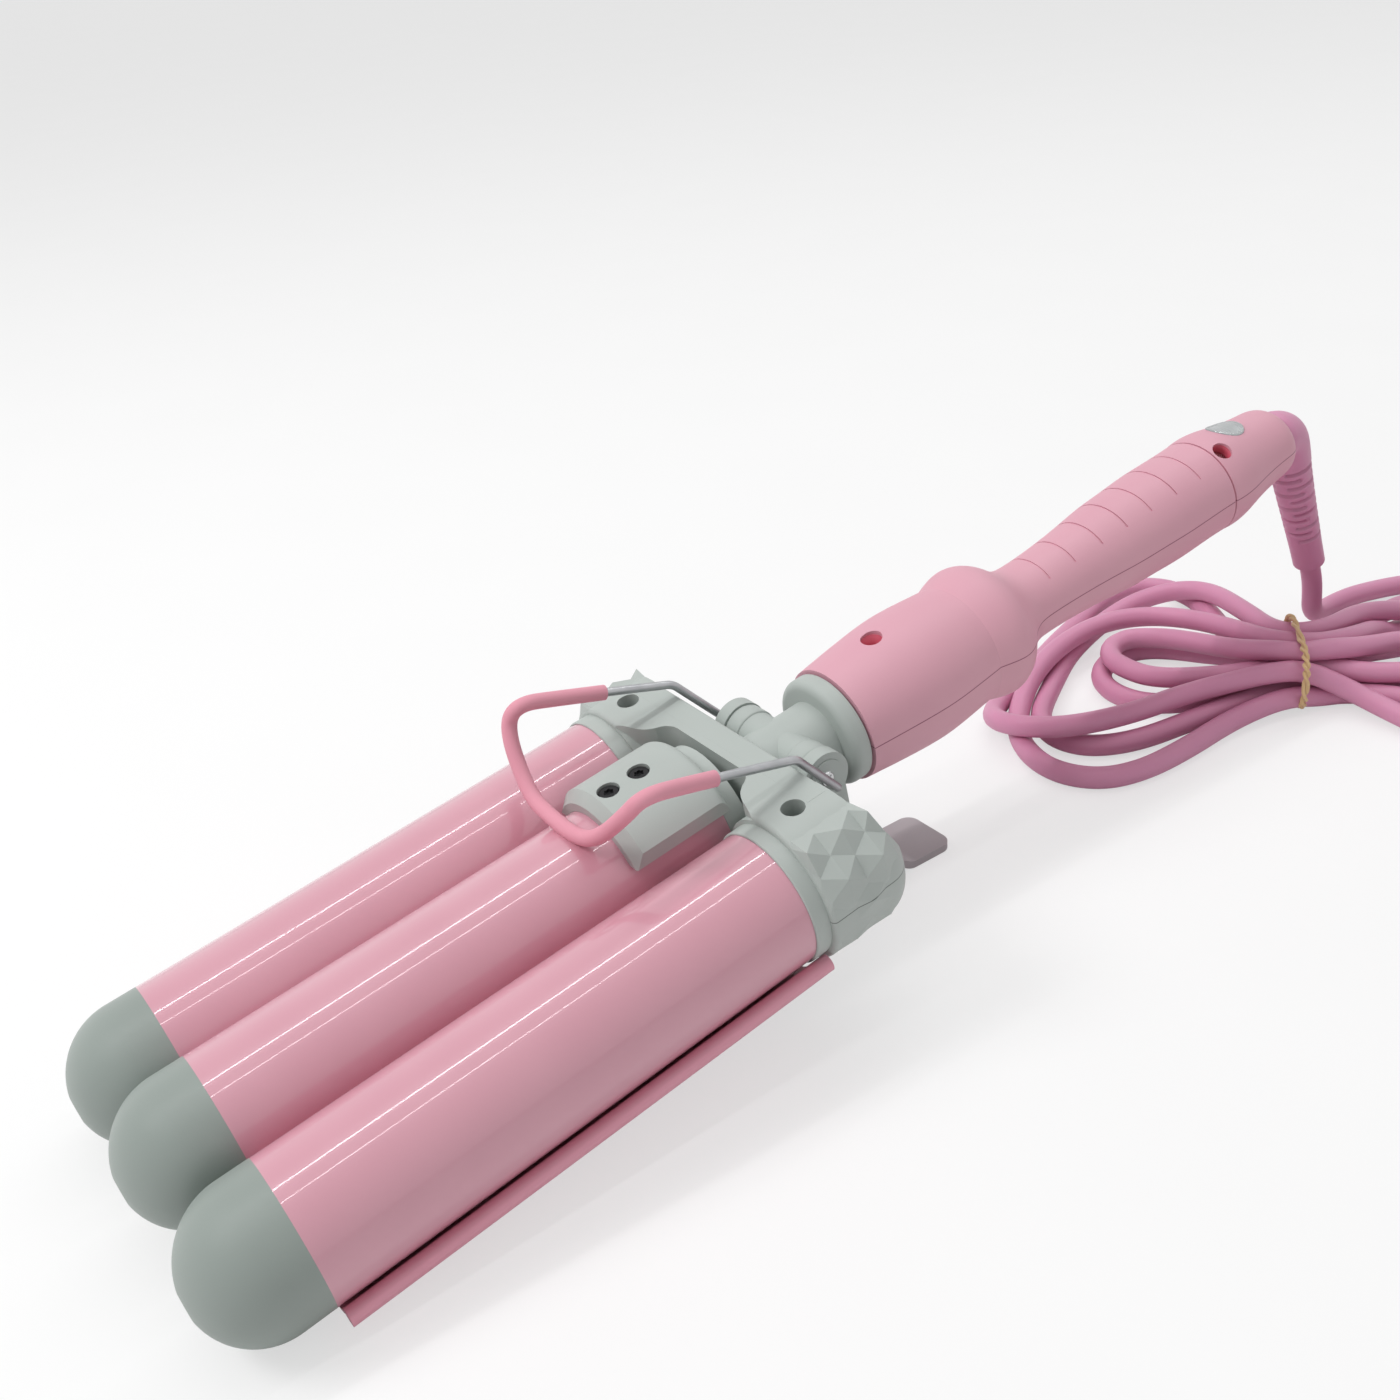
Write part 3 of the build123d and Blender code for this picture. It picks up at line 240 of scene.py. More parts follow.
def spun_badge():
    """Spun aluminium disc: fine turned rings round its middle, clear-lacquered.

    The rings' phase grows by one radian in RING_RADIAN mm, as the texture's phase is WAVE_PHASE
    times its scale times the distance.
    """
    material, tree, shader = blank("badge_spun_aluminium", Metallic=1.0, Coat_Weight=0.3)
    low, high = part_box("badge")
    middle = [(a + b) / 2 for a, b in zip(low, high)]
    shade(tree, shader, "#9EA2A3", "#B0B3B4", 6.0)
    place = add(tree, "ShaderNodeTexCoord")
    lay = add(tree, "ShaderNodeMapping", {"Vector": (place, "Object")},
              {"Location": [-m for m in middle]})
    rings = add(tree, "ShaderNodeTexWave", {"Vector": (lay, "Vector")},
                {"Scale": 1 / (RING_RADIAN * MM) / WAVE_PHASE, "Distortion": 0.3, "Detail": 1.0},
                wave_type="RINGS", rings_direction="Y")
    rough(tree, shader, rings, 0.2, 0.34)
    emboss(tree, shader, rings, 0.006)
    return material


def split_line(tree, height, half_width_mm):
    """1 on the parting plane Z = height of the tool's axes and 0 beyond half_width_mm of it."""
    place = add(tree, "ShaderNodeTexCoord")
    normal = (-math.sin(TILT), 0.0, math.cos(TILT))
    origin = on_table([0.0, 0.0, height])
    offset = float(np.dot(origin, normal))
    along = add(tree, "ShaderNodeVectorMath", {0: (place, "Object")}, operation="DOT_PRODUCT")
    along.inputs[1].default_value = normal
    level = add(tree, "ShaderNodeMath", {0: (along, "Value")}, {1: offset}, operation="SUBTRACT")
    gap = add(tree, "ShaderNodeMath", {0: (level, "Value")}, operation="ABSOLUTE")
    return add(tree, "ShaderNodeMapRange", {"Value": (gap, "Value")},
               {"From Min": half_width_mm * MM * 0.5, "From Max": half_width_mm * MM,
                "To Min": 1.0, "To Max": 0.0})


SEAM_HALF_WIDTH, SEAM_DEPTH, SEAM_STRENGTH = 0.16, 0.15, 0.6


def split_moulding(name, low, high, seam_colour, height, grain_mm, depth_mm, rough_low, rough_high):
    """Moulding in two halves: the fine grain of its tool and a thin dark line where they meet."""
    material, tree, shader = blank(name)
    tone = shade(tree, shader, low, high)
    seam = split_line(tree, height, SEAM_HALF_WIDTH)
    dark = add(tree, "ShaderNodeMix", {"Factor": (seam, "Result")}, data_type="RGBA")
    tree.links.new(tone.outputs[MIX_RESULT], dark.inputs[MIX_FIRST])
    dark.inputs[MIX_SECOND].default_value = linear(seam_colour)
    tree.links.new(dark.outputs[MIX_RESULT], shader.inputs["Base Color"])
    grain = grain_of(tree, grain_mm)
    rough(tree, shader, grain, rough_low, rough_high)
    fine = emboss(tree, shader, grain, depth_mm)
    sunk = add(tree, "ShaderNodeBump", {"Height": (seam, "Result"), "Normal": (fine, "Normal")},
               {"Strength": SEAM_STRENGTH, "Distance": SEAM_DEPTH * MM}, invert=True)
    tree.links.new(sunk.outputs["Normal"], shader.inputs["Normal"])
    return material


HANDLE_SPLIT, YOKE_SPLIT = 3.0, 0.5
# Soft-touch paint over ABS: powdery pink, broad dull highlights, halves parted by a thin line.
handle_soft = split_moulding("handle_soft_touch_abs", "#D79EAE", "#DCA6B4", "#8E4A60", HANDLE_SPLIT,
                             0.3, 0.008, 0.46, 0.58)
# The collars' PBT on the yoke, which is parted the same way.
yoke_pbt = split_moulding("yoke_pbt_spark_eroded", "#ADB4B0", "#B4BBB7", "#6E7571", YOKE_SPLIT,
                          0.35, 0.012, 0.4, 0.53)

steel, spun = drawn_wire(), spun_badge()
# Inside of the screw wells: a darker, deeper red-pink than the handle.
well_darker_pink = moulded("well_walls_darker_pink", "#C24D62", "#CB586C", 0.5, 0.01, 0.4, 0.5)

FINISHES = {
    barrel_lacquer: ("barrel_near", "barrel_far", "barrel_middle"),
    plate_lacquer: ("wave_plate",),
    sage_pbt: ("collar_near", "collar_far", "neck", "saddle", "jaw_frame"),
    yoke_pbt: ("yoke_upper", "yoke_lower"),
    tip_pps: ("tip_near", "tip_far", "tip_middle"),
    mill_aluminium: ("heat_spreader_near", "heat_spreader_far", "heat_spreader_middle"),
    alumina: ("heater_near", "heater_far", "heater_middle", "swivel_contact_block"),
    lever_enamel: ("lever",),
    handle_soft: ("handle_upper", "handle_lower", "handle_end"),
    cord_pvc: ("strain_relief", "plug", "cord_lead", "cord_hank", "cord_tail"),
    sleeve_silicone: ("stand_sleeve", "cord_tie"),
    steel: ("stand_wire", "closing_springs"),
    pin_nickel: ("plug_pins",),
    screw_zinc: ("pivot_screws", "handle_screws"),
    screw_black: ("yoke_screws", "saddle_screws"),
    spun: ("badge",),
    board_mask: ("control_board", "display_module"),
    window_smoke: ("display_window",),
    lead_pvc: ("handle_leads",),
    button_abs: ("minus_button", "power_button", "plus_button"),
}
for finish, names in FINISHES.items():
    for name in names:
        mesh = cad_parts[name].data
        mesh.materials.clear()
        mesh.materials.append(finish)


# ---------------------------------------------------------------- mesh helpers
def skin(name, parts, material, smooth=True):
    """Mesh object from parts: a grid of points in m, and whether its last row joins its first.

    A grid is (rows, columns, 3) and closed round its columns, with quads between neighbouring
    rows and columns. A row drawn together to one point is a pole, whose doubles are merged, so
    the skin is closed.
    """
    verts, faces, start = [], [], 0
    for grid, loops in parts:
        rows, columns, _ = grid.shape
        index = np.arange(rows * columns).reshape(rows, columns) + start
        if loops:
            index = np.vstack([index, index[:1]])
        a, b = index[:-1], index[1:]
        quads = np.stack([a, np.roll(a, -1, 1), np.roll(b, -1, 1), b], -1)
        faces.append(quads.reshape(-1, 4))
        verts.append(grid.reshape(-1, 3))
        start += rows * columns
    mesh = bpy.data.meshes.new(name)
    mesh.from_pydata(np.vstack(verts).tolist(), [], np.vstack(faces).tolist())
    shell = bmesh.new()
    shell.from_mesh(mesh)
    bmesh.ops.remove_doubles(shell, verts=shell.verts, dist=1e-7)
    bmesh.ops.recalc_face_normals(shell, faces=shell.faces)
    shell.to_mesh(mesh)
    shell.free()
    mesh.materials.append(material)
    mesh.polygons.foreach_set("use_smooth", [smooth] * len(mesh.polygons))
    return placed(name, mesh)


def ramp(value, low, high):
    """0 below low, 1 above high and an S-curve between them."""
    t = np.clip((value - low) / (high - low), 0, 1)
    return t * t * (3 - 2 * t)


def turned(profile, around=96):
    """Grid of a profile of (radius, height) turned about the height axis: (rows, around, 3)."""
    p = np.asarray(profile, float)
    angle = np.linspace(0, 2 * math.pi, around, endpoint=False)
    radius, height = p[:, :1], p[:, 1:]
    return np.stack([radius * np.cos(angle), radius * np.sin(angle), height + 0 * angle], -1)


def stood(grid, origin, along_x, along_y, along_z):
    """Grid of a piece's own axes, set up at an origin on three directions of the tool's axes."""
    axes = np.array([along_x, along_y, along_z], float)
    return np.asarray(origin, float) + grid @ axes


# ---------------------------------------------------------------- cord
CORD_DIAMETER = 6.3
LEAD_ROUTE = ((171.82, 0.0, 26.21), (174.18, 0.0, 20.47), (175.4, 0.1, 14.3), (176.4, 0.5, 8.8),
              (180.3, 1.6, 4.8), (187.2, 2.9, 3.3), (194.2, 3.2, 3.2))
TAIL_ROUTE = ((14.0, -10.0, 6.5), (25.0, -20.0, 4.4), (37.0, -32.0, 3.4), (50.0, -41.5, 3.8),
              (63.0, -46.5, 5.4), (75.0, -48.0, 6.85))
# Along, across and height of the cord's turns on the hank: two lobes folded at the tie.
HANK_TURNS = (
    (30.5, 61.5, 3.2), (47.5, 69.5, 3.2), (66, 73, 3.2), (84, 67, 3.2), (96, 51, 5), (99, 32, 9),
    (92, 15, 10), (79, 8.5, 9.5), (64, 10, 12.5), (49, 13, 11), (34, 13.5, 11), (20, 2, 14.5),
    (8.5, -4, 17), (0, -6, 16.5), (-7.5, -4.5, 16.5), (-17.5, -0.5, 14.5), (-33.5, 13, 11),
    (-42.5, 15.5, 10), (-48, 14.5, 10), (-51.5, 12, 9.5), (-53.5, 8.5, 9.5), (-54, 3.5, 9.5),
    (-51.5, -2.5, 9.5), (-42.5, -10, 9.5), (-25, -8.5, 9.5), (-9.5, -4, 9.5), (0, -2.5, 11),
    (9, -3, 10), (22.5, -5.5, 9.5), (40, -5.5, 11), (57.5, 2, 8.5), (62.5, 12, 4.5),
    (61, 20.5, 3.5), (56, 26, 3.2), (47.5, 28, 3.5), (34.5, 23, 3.2), (18, 11, 7), (7.5, 7, 10.5),
    (-0, 5, 10.5), (-8.5, 6.5, 8.5), (-21, 13.5, 5), (-33.5, 20, 3.5), (-43.5, 20, 3.5),
    (-53.5, 13.5, 3.2), (-57.5, 1, 3.5), (-53.5, -9.5, 3.5), (-43, -15, 3.2), (-28, -12, 3.2),
    (-15.5, -3.5, 3.2), (-7, 0, 4), (-0.5, 2.5, 5), (9, 6.5, 3.2), (26, 5.5, 3.2),
    (46.5, -2.5, 3.2), (62.5, -2, 3.2), (75.5, 10, 3.2), (78.5, 25.5, 3.2), (72, 37, 3.2),
    (60.5, 41.5, 3.5), (48.5, 38, 7), (38, 34.5, 11), (23.5, 28, 13), (13.5, 16.5, 14),
    (7, 12, 14.5), (2, 11, 14.5), (-2, 12.5, 14), (-6, 17, 13.5), (-9.5, 27.5, 12.5), (-18, 49, 10),
    (-28.5, 54.5, 8), (-41, 51.5, 5.5), (-49.5, 44, 4), (-57.5, 33, 3.2), (-66, 16, 3.2),
    (-71.5, -3, 3.2), (-76, -20.5, 3.2), (-75, -30.5, 3.2), (-69.5, -37, 3.2), (-61, -39.5, 3.2),
    (-48.5, -35.5, 3.2), (-34, -25, 3.2), (-20.5, -14.5, 3.2), (-9, -8, 4), (-0.5, -5, 5),
    (9.5, 0, 3.5), (26, -1.5, 3.5), (46, -9.5, 3.2), (66, -8, 3.2), (82, 3, 3.2), (88, 22, 3.2),
    (82, 41, 3.2), (68, 50.5, 3.2), (54, 49, 3.5), (43, 41, 3.2), (35, 32, 3.5), (27.5, 22.5, 10),
    (18.5, 9, 14.5), (8.5, 2.5, 15.5), (0, 1.5, 16), (-7.5, 4.5, 15.5), (-14, 12.5, 14),
    (-25, 26, 11), (-38, 32, 9.5), (-51, 29, 9.5), (-62, 20, 9.5), (-71, 7, 9.5), (-78, -7, 8),
    (-81.5, -18, 5), (-83, -30, 3.2), (-80.5, -43, 3.2), (-73, -53.5, 3.2), (-61, -57, 3.2),
    (-49, -52, 3.2), (-36, -40, 3.2), (-22, -24.5, 3.5), (-9.5, -16, 5), (-1, -12.5, 5.5),
    (5, -9, 3.5), (15.5, -5.5, 3.2), (32, -12, 5), (46.5, -18.5, 3.2), (68, -16, 3.2),
    (88, -4, 3.2), (96, 18, 3.2), (92, 41, 3.2), (78, 57, 3.2), (60, 60, 3.2), (46, 56, 3.2),
    (34, 46, 3.2), (24, 33, 3.2), (16, 19, 3.5), (8, 13, 4.5), (0, 12, 4.5), (-7.5, 15.5, 4),
    (-14.5, 26.5, 3.5), (-18.5, 48, 3.2), (-25.5, 62, 3.2), (-34.5, 67, 3.2), (-44, 65, 3.2),
    (-54, 54.5, 3.2), (-62, 38, 3.2), (-70.5, 22, 3.2), (-78, 4, 3.2), (-85.5, -10, 3.2),
    (-90.5, -24, 4.5), (-88, -34.5, 8), (-80.5, -40.5, 10), (-68.5, -41, 10.5), (-51, -31.5, 9.5),
    (-34, -19, 9.5), (-20.5, -13.5, 10.5), (-9, -11, 12.5), (1, -11, 13.5),
)


def cord_points():
    """Route of the whole cord in m: the lead from the strain relief, the hank and the tail."""
    lead = np.array(LEAD_ROUTE) * MM
    return np.vstack([lead, on_hank(HANK_TURNS), on_hank(TAIL_ROUTE)])


def make_cord():
    """The whole cord as one smooth spline through the hank's turns."""
    points = cord_points()
    curve = bpy.data.curves.new("cord", "CURVE")
    curve.dimensions = "3D"
    curve.bevel_depth = CORD_DIAMETER / 2 * MM
    curve.bevel_resolution = 6
    curve.resolution_u = 8
    spline = curve.splines.new("NURBS")
    spline.points.add(len(points) - 1)
    for control, place in zip(spline.points, points):
        control.co = (*place, 1)
    spline.order_u = 3
    spline.use_endpoint_u = True
    curve.use_fill_caps = True
    curve.materials.append(cord_pvc)
    cord = placed("cord", curve)
    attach(cord, "cord")
    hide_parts("cord_lead", "cord_hank", "cord_tail")
    return cord, points


# ---------------------------------------------------------------- tie
# Middle and half size, across and up, of the line round the hank's waist, then each strand's
# distance from that line, its section's radius as a share of it, its turns and the line's power.
TIE_MIDDLE, TIE_HALF = (-0.3, 10.9), (17.0, 9.5)
TIE_STRAND, TIE_OVERLAP, TIE_TWISTS, TIE_POWER = 0.58, 1.02, 11, 3.2
TIE_STEPS, TIE_AROUND = 240, 14


def tie_elastic():
    """Braided elastic: tan threads across the band, matt and slightly fuzzy."""
    material, tree, shader = blank("tie_braided_elastic", Sheen_Weight=0.3, Sheen_Roughness=0.5)
    shade(tree, shader, "#CDAA78", "#DDBF90", 3.0)
    threads = grain_of(tree, 0.5, 2.0, (1.0, 1.0, 0.4))
    rough(tree, shader, threads, 0.62, 0.8)
    emboss(tree, shader, threads, 0.08)
    return material


def make_tie(material):
    """Two elastic strands twisted round each other about the hank's waist.

    The middle line is a rounded rectangle in the plane across the hank, a superellipse of power
    TIE_POWER. The strands circle that line at a small radius, half a turn apart, and the section
    of each is a circle.
    """
    loop = np.linspace(0, 2 * math.pi, TIE_STEPS, endpoint=False)
    power = 2 / TIE_POWER
    waves = np.cos(loop), np.sin(loop)
    across, height = (middle + half * np.sign(wave) * np.abs(wave) ** power
                      for middle, half, wave in zip(TIE_MIDDLE, TIE_HALF, waves))
    line = np.stack([0 * loop, across, height], -1)
    tangent = np.roll(line, -1, 0) - np.roll(line, 1, 0)
    tangent /= np.linalg.norm(tangent, axis=1)[:, None]
    side = np.tile([1.0, 0.0, 0.0], (len(loop), 1))
    out = np.cross(side, tangent)
    around = np.linspace(0, 2 * math.pi, TIE_AROUND, endpoint=False)
    parts = []
    for start in (0.0, math.pi):
        twist = TIE_TWISTS * loop + start
        middle = line + TIE_STRAND * (np.cos(twist)[:, None] * side + np.sin(twist)[:, None] * out)
        c, s = np.cos(around)[None, :, None], np.sin(around)[None, :, None]
        ring = c * side[:, None] + s * out[:, None]
        parts.append((on_hank(middle[:, None] + TIE_STRAND * TIE_OVERLAP * ring), True))
    tie = skin("hank_tie", parts, material)
    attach(tie, "cord")
    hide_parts("cord_tie")


# ---------------------------------------------------------------- screws
PIVOT = (148.0, 6.0)
HUB_REACH = 17.9
# Pivot screws: the head's radius and height over the hub, the shank's radius, the screw's length
# and the rim's height, then the head's rounded edge as steps in and down, and each cross's turn.
PIVOT_HEAD, PIVOT_SHANK, PIVOT_LENGTH, PIVOT_RIM = (1.9, 0.3), 1.2, 9, 1.2
PIVOT_EDGE = ((0, 0.35), (0.08, 0.15), (0.25, 0.02))
PIVOT_SPINS = ((-1, 0.5), (1, -0.3))
# Cross recess: a slot's half width, its half length and the core's radius, each from full depth to
# none, then the depths of slot and core and the dome's height.
CROSS_SLOT, CROSS_REACH, CROSS_CORE = (0.16, 0.27), (1.05, 1.25), (0.35, 0.65)
CROSS_DEPTHS, CROSS_DOME = (0.55, 0.75), 0.12
SADDLE_TOP, SADDLE_SINK = 23.5, 0.6
SADDLE_SCREWS = (101.9, 110.3)
SADDLE_SHANK, SADDLE_LENGTH, SADDLE_HEAD, SADDLE_RIM = 1.4, 16, 2.5, 1.2
SADDLE_EDGE = ((SADDLE_HEAD, 0.3), (2.4, 0.1))
# Six-lobed recess: the flat face's radius, the lobed curve's mean radius and wave, its depth, and
# how far inside and outside the curve its wall slopes.
LOBE_FACE, LOBE_RADIUS, LOBE_WAVE, LOBE_DEPTH = 2.2, 1.05, 0.17, 0.75
LOBE_WALL = (0.1, 0.06)


def cross_screw_grid():
    """Pan-head screw with a cross recess.

    Below the rim it is a turned profile. On top, the height is a shallow dome less the recess:
    its depth is full where the nearer of the two slot axes is closer than half a slot's width
    and the slot's length isn't passed, with sloping walls, and it is deeper at the middle.
    """
    radius, rise = PIVOT_HEAD
    top = HUB_REACH + rise
    foot, shoulder = HUB_REACH - PIVOT_LENGTH, HUB_REACH - PIVOT_RIM
    rim = turned([(0, foot), (PIVOT_SHANK, foot), (PIVOT_SHANK, shoulder), (radius, shoulder)]
                 + [(radius - inward, top - down) for inward, down in PIVOT_EDGE])
    rings = np.linspace(1, 0, 34) ** 0.9
    face = turned([(r * (radius - PIVOT_EDGE[-1][0]), top) for r in rings])
    x, y = face[..., 0], face[..., 1]
    near, far = np.minimum(abs(x), abs(y)), np.maximum(abs(x), abs(y))
    slot = (1 - ramp(near, *CROSS_SLOT)) * (1 - ramp(far, *CROSS_REACH))
    core = 1 - ramp(np.hypot(x, y), *CROSS_CORE)
    dome = CROSS_DOME * (1 - (np.hypot(x, y) / radius) ** 2)
    face[..., 2] += dome - np.maximum(slot * CROSS_DEPTHS[0], core * CROSS_DEPTHS[1])
    return np.vstack([rim, face])


def lobe_screw_grid():
    """Flat-head screw with a six-lobed recess: sunk where the radius is inside the lobed curve."""
    top = SADDLE_TOP - SADDLE_SINK
    foot, shoulder = top - SADDLE_LENGTH, top - SADDLE_RIM
    rim = turned([(0, foot), (SADDLE_SHANK, foot), (SADDLE_SHANK, shoulder),
                  (SADDLE_HEAD, shoulder)]
                 + [(radius, top - down) for radius, down in SADDLE_EDGE] + [(LOBE_FACE, top)])
    face = turned([(r * LOBE_FACE, top) for r in np.linspace(1, 0, 36)])
    angle = np.arctan2(face[..., 1], face[..., 0])
    reach = LOBE_RADIUS + LOBE_WAVE * np.cos(6 * angle)
    inside, outside = LOBE_WALL
    sunk = 1 - ramp(np.hypot(face[..., 0], face[..., 1]), reach - inside, reach + outside)
    face[..., 2] -= LOBE_DEPTH * sunk
    return np.vstack([rim, face])


def make_screws():
    """Detailed screws that stand for the frame's: two at the jaw's pivot and two in the saddle."""
    grid = cross_screw_grid()
    parts = []
    for side, spin in PIVOT_SPINS:
        c, s = math.cos(spin), math.sin(spin)
        screw = stood(grid, (PIVOT[0], 0, PIVOT[1]), (c, 0, s), (-s, 0, c), (0, side, 0))
        parts.append((on_table(screw), False))
    pivots = skin("pivot_cross_screws", parts, screw_zinc)
    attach(pivots, "main")
    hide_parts("pivot_screws")
    grid = lobe_screw_grid()
    parts = [(on_table(stood(grid, (x, 0, 0), (1, 0, 0), (0, 1, 0), (0, 0, 1))), False)
             for x in SADDLE_SCREWS]
    saddle = skin("saddle_lobe_screws", parts, screw_black)
    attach(saddle, "jaw")
    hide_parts("saddle_screws")


# ---------------------------------------------------------------- wire stand
# Control points of the wire: one leg, mirrored for the near one, and the loop's nose between them.
STAND_HALF = ((149.4, 10.5, 3.2), (149.4, 16.0, 3.2), (149.4, 18.0, 3.2), (149.4, 19.6, 3.2),
              (148.3, 20.0, 4.9), (145.0, 21.1, 9.7), (138.8, 23.1, 18.8), (136.9, 23.7, 21.6),
              (133.6, 23.9, 23.0), (122.0, 24.6, 28.0), (108.5, 25.3, 33.7), (97.5, 26.0, 38.2))
STAND_NOSE_NEAR = ((94.0, -21.0, 32.0), (91.2, -11.5, 22.8), (89.8, -4.0, 20.0))
STAND_NOSE_FAR = ((89.8, 8.0, 20.0), (90.4, 17.0, 21.0), (94.0, 27.6, 32.0))
# X where the sleeve ends on the near and on the far leg.
SLEEVE_ENDS = (115.6, 120.0)
WIRE_RADIUS, SLEEVE_RADIUS = 1.05, 1.85


def blended(controls, steps=10):
    """Points of the smooth curve that a row of control points pulls: a uniform quadratic B-spline.

    Between two runs' middles the curve is the parabola that touches both runs there.
    """
    c = np.asarray(controls, float)
    t = (np.arange(steps) / steps)[None, :, None]
    a, b, d = c[:-2, None], c[1:-1, None], c[2:, None]
    curve = 0.5 * ((1 - t) ** 2 * a + (1 + 2 * t - 2 * t * t) * b + t * t * d)
    return curve.reshape(-1, 3)


def round_bar(name, points, radius, material):
    """Round bar along close points in the tool's axes, as a curve with a round section."""
    curve = bpy.data.curves.new(name, "CURVE")
    curve.dimensions = "3D"
    curve.bevel_depth = radius * MM
    curve.bevel_resolution = 6
    curve.use_fill_caps = True
    spline = curve.splines.new("POLY")
    spline.points.add(len(points) - 1)
    homogeneous = np.hstack([on_table(points), np.ones((len(points), 1))])
    spline.points.foreach_set("co", homogeneous.ravel())
    curve.materials.append(material)
    return placed(name, curve)


def make_stand(steel):
    """The stand's wire from hub to hub, and the soft sleeve on its loop."""
    near = [(x, -y, z) for x, y, z in STAND_HALF]
    line = blended(near + list(STAND_NOSE_NEAR) + list(STAND_NOSE_FAR) + list(STAND_HALF[::-1]))
    wire = round_bar("stand_bent_wire", line, WIRE_RADIUS, steel)
    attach(wire, "stand")
    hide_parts("stand_wire")
    limit = np.where(line[:, 1] < 0, SLEEVE_ENDS[0], SLEEVE_ENDS[1])
    covered = line[line[:, 0] < limit]
    sleeve = round_bar("stand_soft_sleeve", covered, SLEEVE_RADIUS, sleeve_silicone)
    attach(sleeve, "stand")
    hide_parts("stand_sleeve")


# ---------------------------------------------------------------- yoke's rear edge
# X and Z of the face's top edge, mm back for each mm down, and the strip's front, foot and half
# width.
REAR_EDGE = (137.3, 18.0)
REAR_LEAN = 0.47
REAR_STRIP = (131.4, 10.6, 33.4)
# Top edge of the strip, as X and Z from the rear edge: flat, then rounded over to the rear face.
STRIP_CREST = ((-0.8, 0.02), (-0.25, -0.12), (0.15, -0.55))
# Corners closer than this (m) are the same corner, and a normal nearer than this (cosine) fits.
CORNER_REACH, NORMAL_FIT = 3e-6, 0.8


def make_yoke_rear():
    """Trim the yoke's upper half to a leaning rear face, and fill its middle out to the same face.

    The half is its node's own mesh with doubles merged, cut by the plane through the rear edge
    that leans back by REAR_LEAN mm for each mm down. The fill is a bar with that face.
    """
    housing = bpy.data.meshes.new("yoke_upper_housing")
    shell = bmesh.new()
    shell.from_mesh(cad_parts["yoke_upper"].data)
    bmesh.ops.remove_doubles(shell, verts=shell.verts, dist=1e-6)
    edge_x, edge_z = REAR_EDGE
    edge = on_table((edge_x, 0, edge_z))
    normal = on_table((edge_x + 1, 0, edge_z + REAR_LEAN)) - edge
    everything = shell.verts[:] + shell.edges[:] + shell.faces[:]
    bmesh.ops.bisect_plane(shell, geom=everything, dist=1e-7, plane_co=edge, plane_no=normal,
                           clear_outer=True)
    rim = [e for e in shell.edges if e.is_boundary]
    bmesh.ops.triangle_fill(shell, edges=rim, use_beauty=True, normal=normal)
    bmesh.ops.recalc_face_normals(shell, faces=shell.faces)
    shell.to_mesh(housing)
    shell.free()
    finish_housing(housing, "yoke_upper_housing", "yoke_upper")

    x0, z0, half = REAR_STRIP
    foot = edge_x + (edge_z - z0) * REAR_LEAN
    crest = [(edge_x + dx, edge_z + dz) for dx, dz in STRIP_CREST]
    outline = np.array([(x0, crest[0][1]), *crest, (foot, z0), (x0, z0)])
    middle = outline.mean(0)
    rows = []
    for y, size in ((-half, 0), (-half, 1), (half, 1), (half, 0)):
        x, z = (middle + (outline - middle) * size).T
        rows.append(np.stack([x, 0 * x + y, z], -1))
    strip = skin("yoke_rear_strip", [(on_table(np.array(rows)), False)], yoke_pbt, smooth=False)
    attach(strip, "main")


def finish_housing(mesh, name, node):
    """Give a housing half its material and its node's corner normals, and replace the node by it.

    A corner takes the node's normal at the same point that is nearest to the face's own. The
    corners on the cut have none, and take the face's.
    """
    mesh.materials.clear()
    mesh.materials.append(yoke_pbt)
    mesh.polygons.foreach_set("use_smooth", [True] * len(mesh.polygons))
    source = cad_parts[node].data
    tree = KDTree(len(source.loops))
    for loop in source.loops:
        tree.insert(source.vertices[loop.vertex_index].co, loop.index)
    tree.balance()
    corners = []
    for polygon in mesh.polygons:
        for vertex in polygon.vertices:
            near = [source.corner_normals[hit[1]].vector.copy()
                    for hit in tree.find_range(mesh.vertices[vertex].co, CORNER_REACH)]
            best = max(near, key=polygon.normal.dot) if near else polygon.normal.copy()
            fits = best.dot(polygon.normal) > NORMAL_FIT
            corners.append(best if fits else polygon.normal.copy())
    mesh.normals_split_custom_set(corners)
    housing = placed(name, mesh)
    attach(housing, "main")
    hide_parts(node)


# ---------------------------------------------------------------- faceted shoulders
BARREL_PITCH = 32.5
YOKE_FRONT, YOKE_RADIUS = 120.5, 18.0
SHOULDER_REAR, SHOULDER_ROUNDING = 144.8, 7.0
# The lattice's start behind the yoke's front, its columns' pitch and the triangles' edge, then how
# far a peak rises over the other corners, and how far those stand out or sink in.
FACET_START, FACET_COLUMN, FACET_EDGE = 1.0, 4.94, 5.7
FACET_RISE, FACET_LIFT, FACET_SINK = 1.9, 0.35, 0.35
FACET_ANGLES, PEAK_REAR, PEAK_TOP = (-12.0, 86.0), 140.0, 66
FACET_MARGIN, FACET_WALL = 0.2, 1.0
FACET_COLUMNS, FACET_ROWS = (-1, 6), (-9, 12)


def shoulder_radius(x):
    """Shoulder's radius about the outer barrel's axis: straight, then rounded off to the rear."""
    past = np.clip(x - (SHOULDER_REAR - SHOULDER_ROUNDING), 0, SHOULDER_ROUNDING)
    return YOKE_RADIUS - SHOULDER_ROUNDING + np.sqrt(SHOULDER_ROUNDING ** 2 - past ** 2)


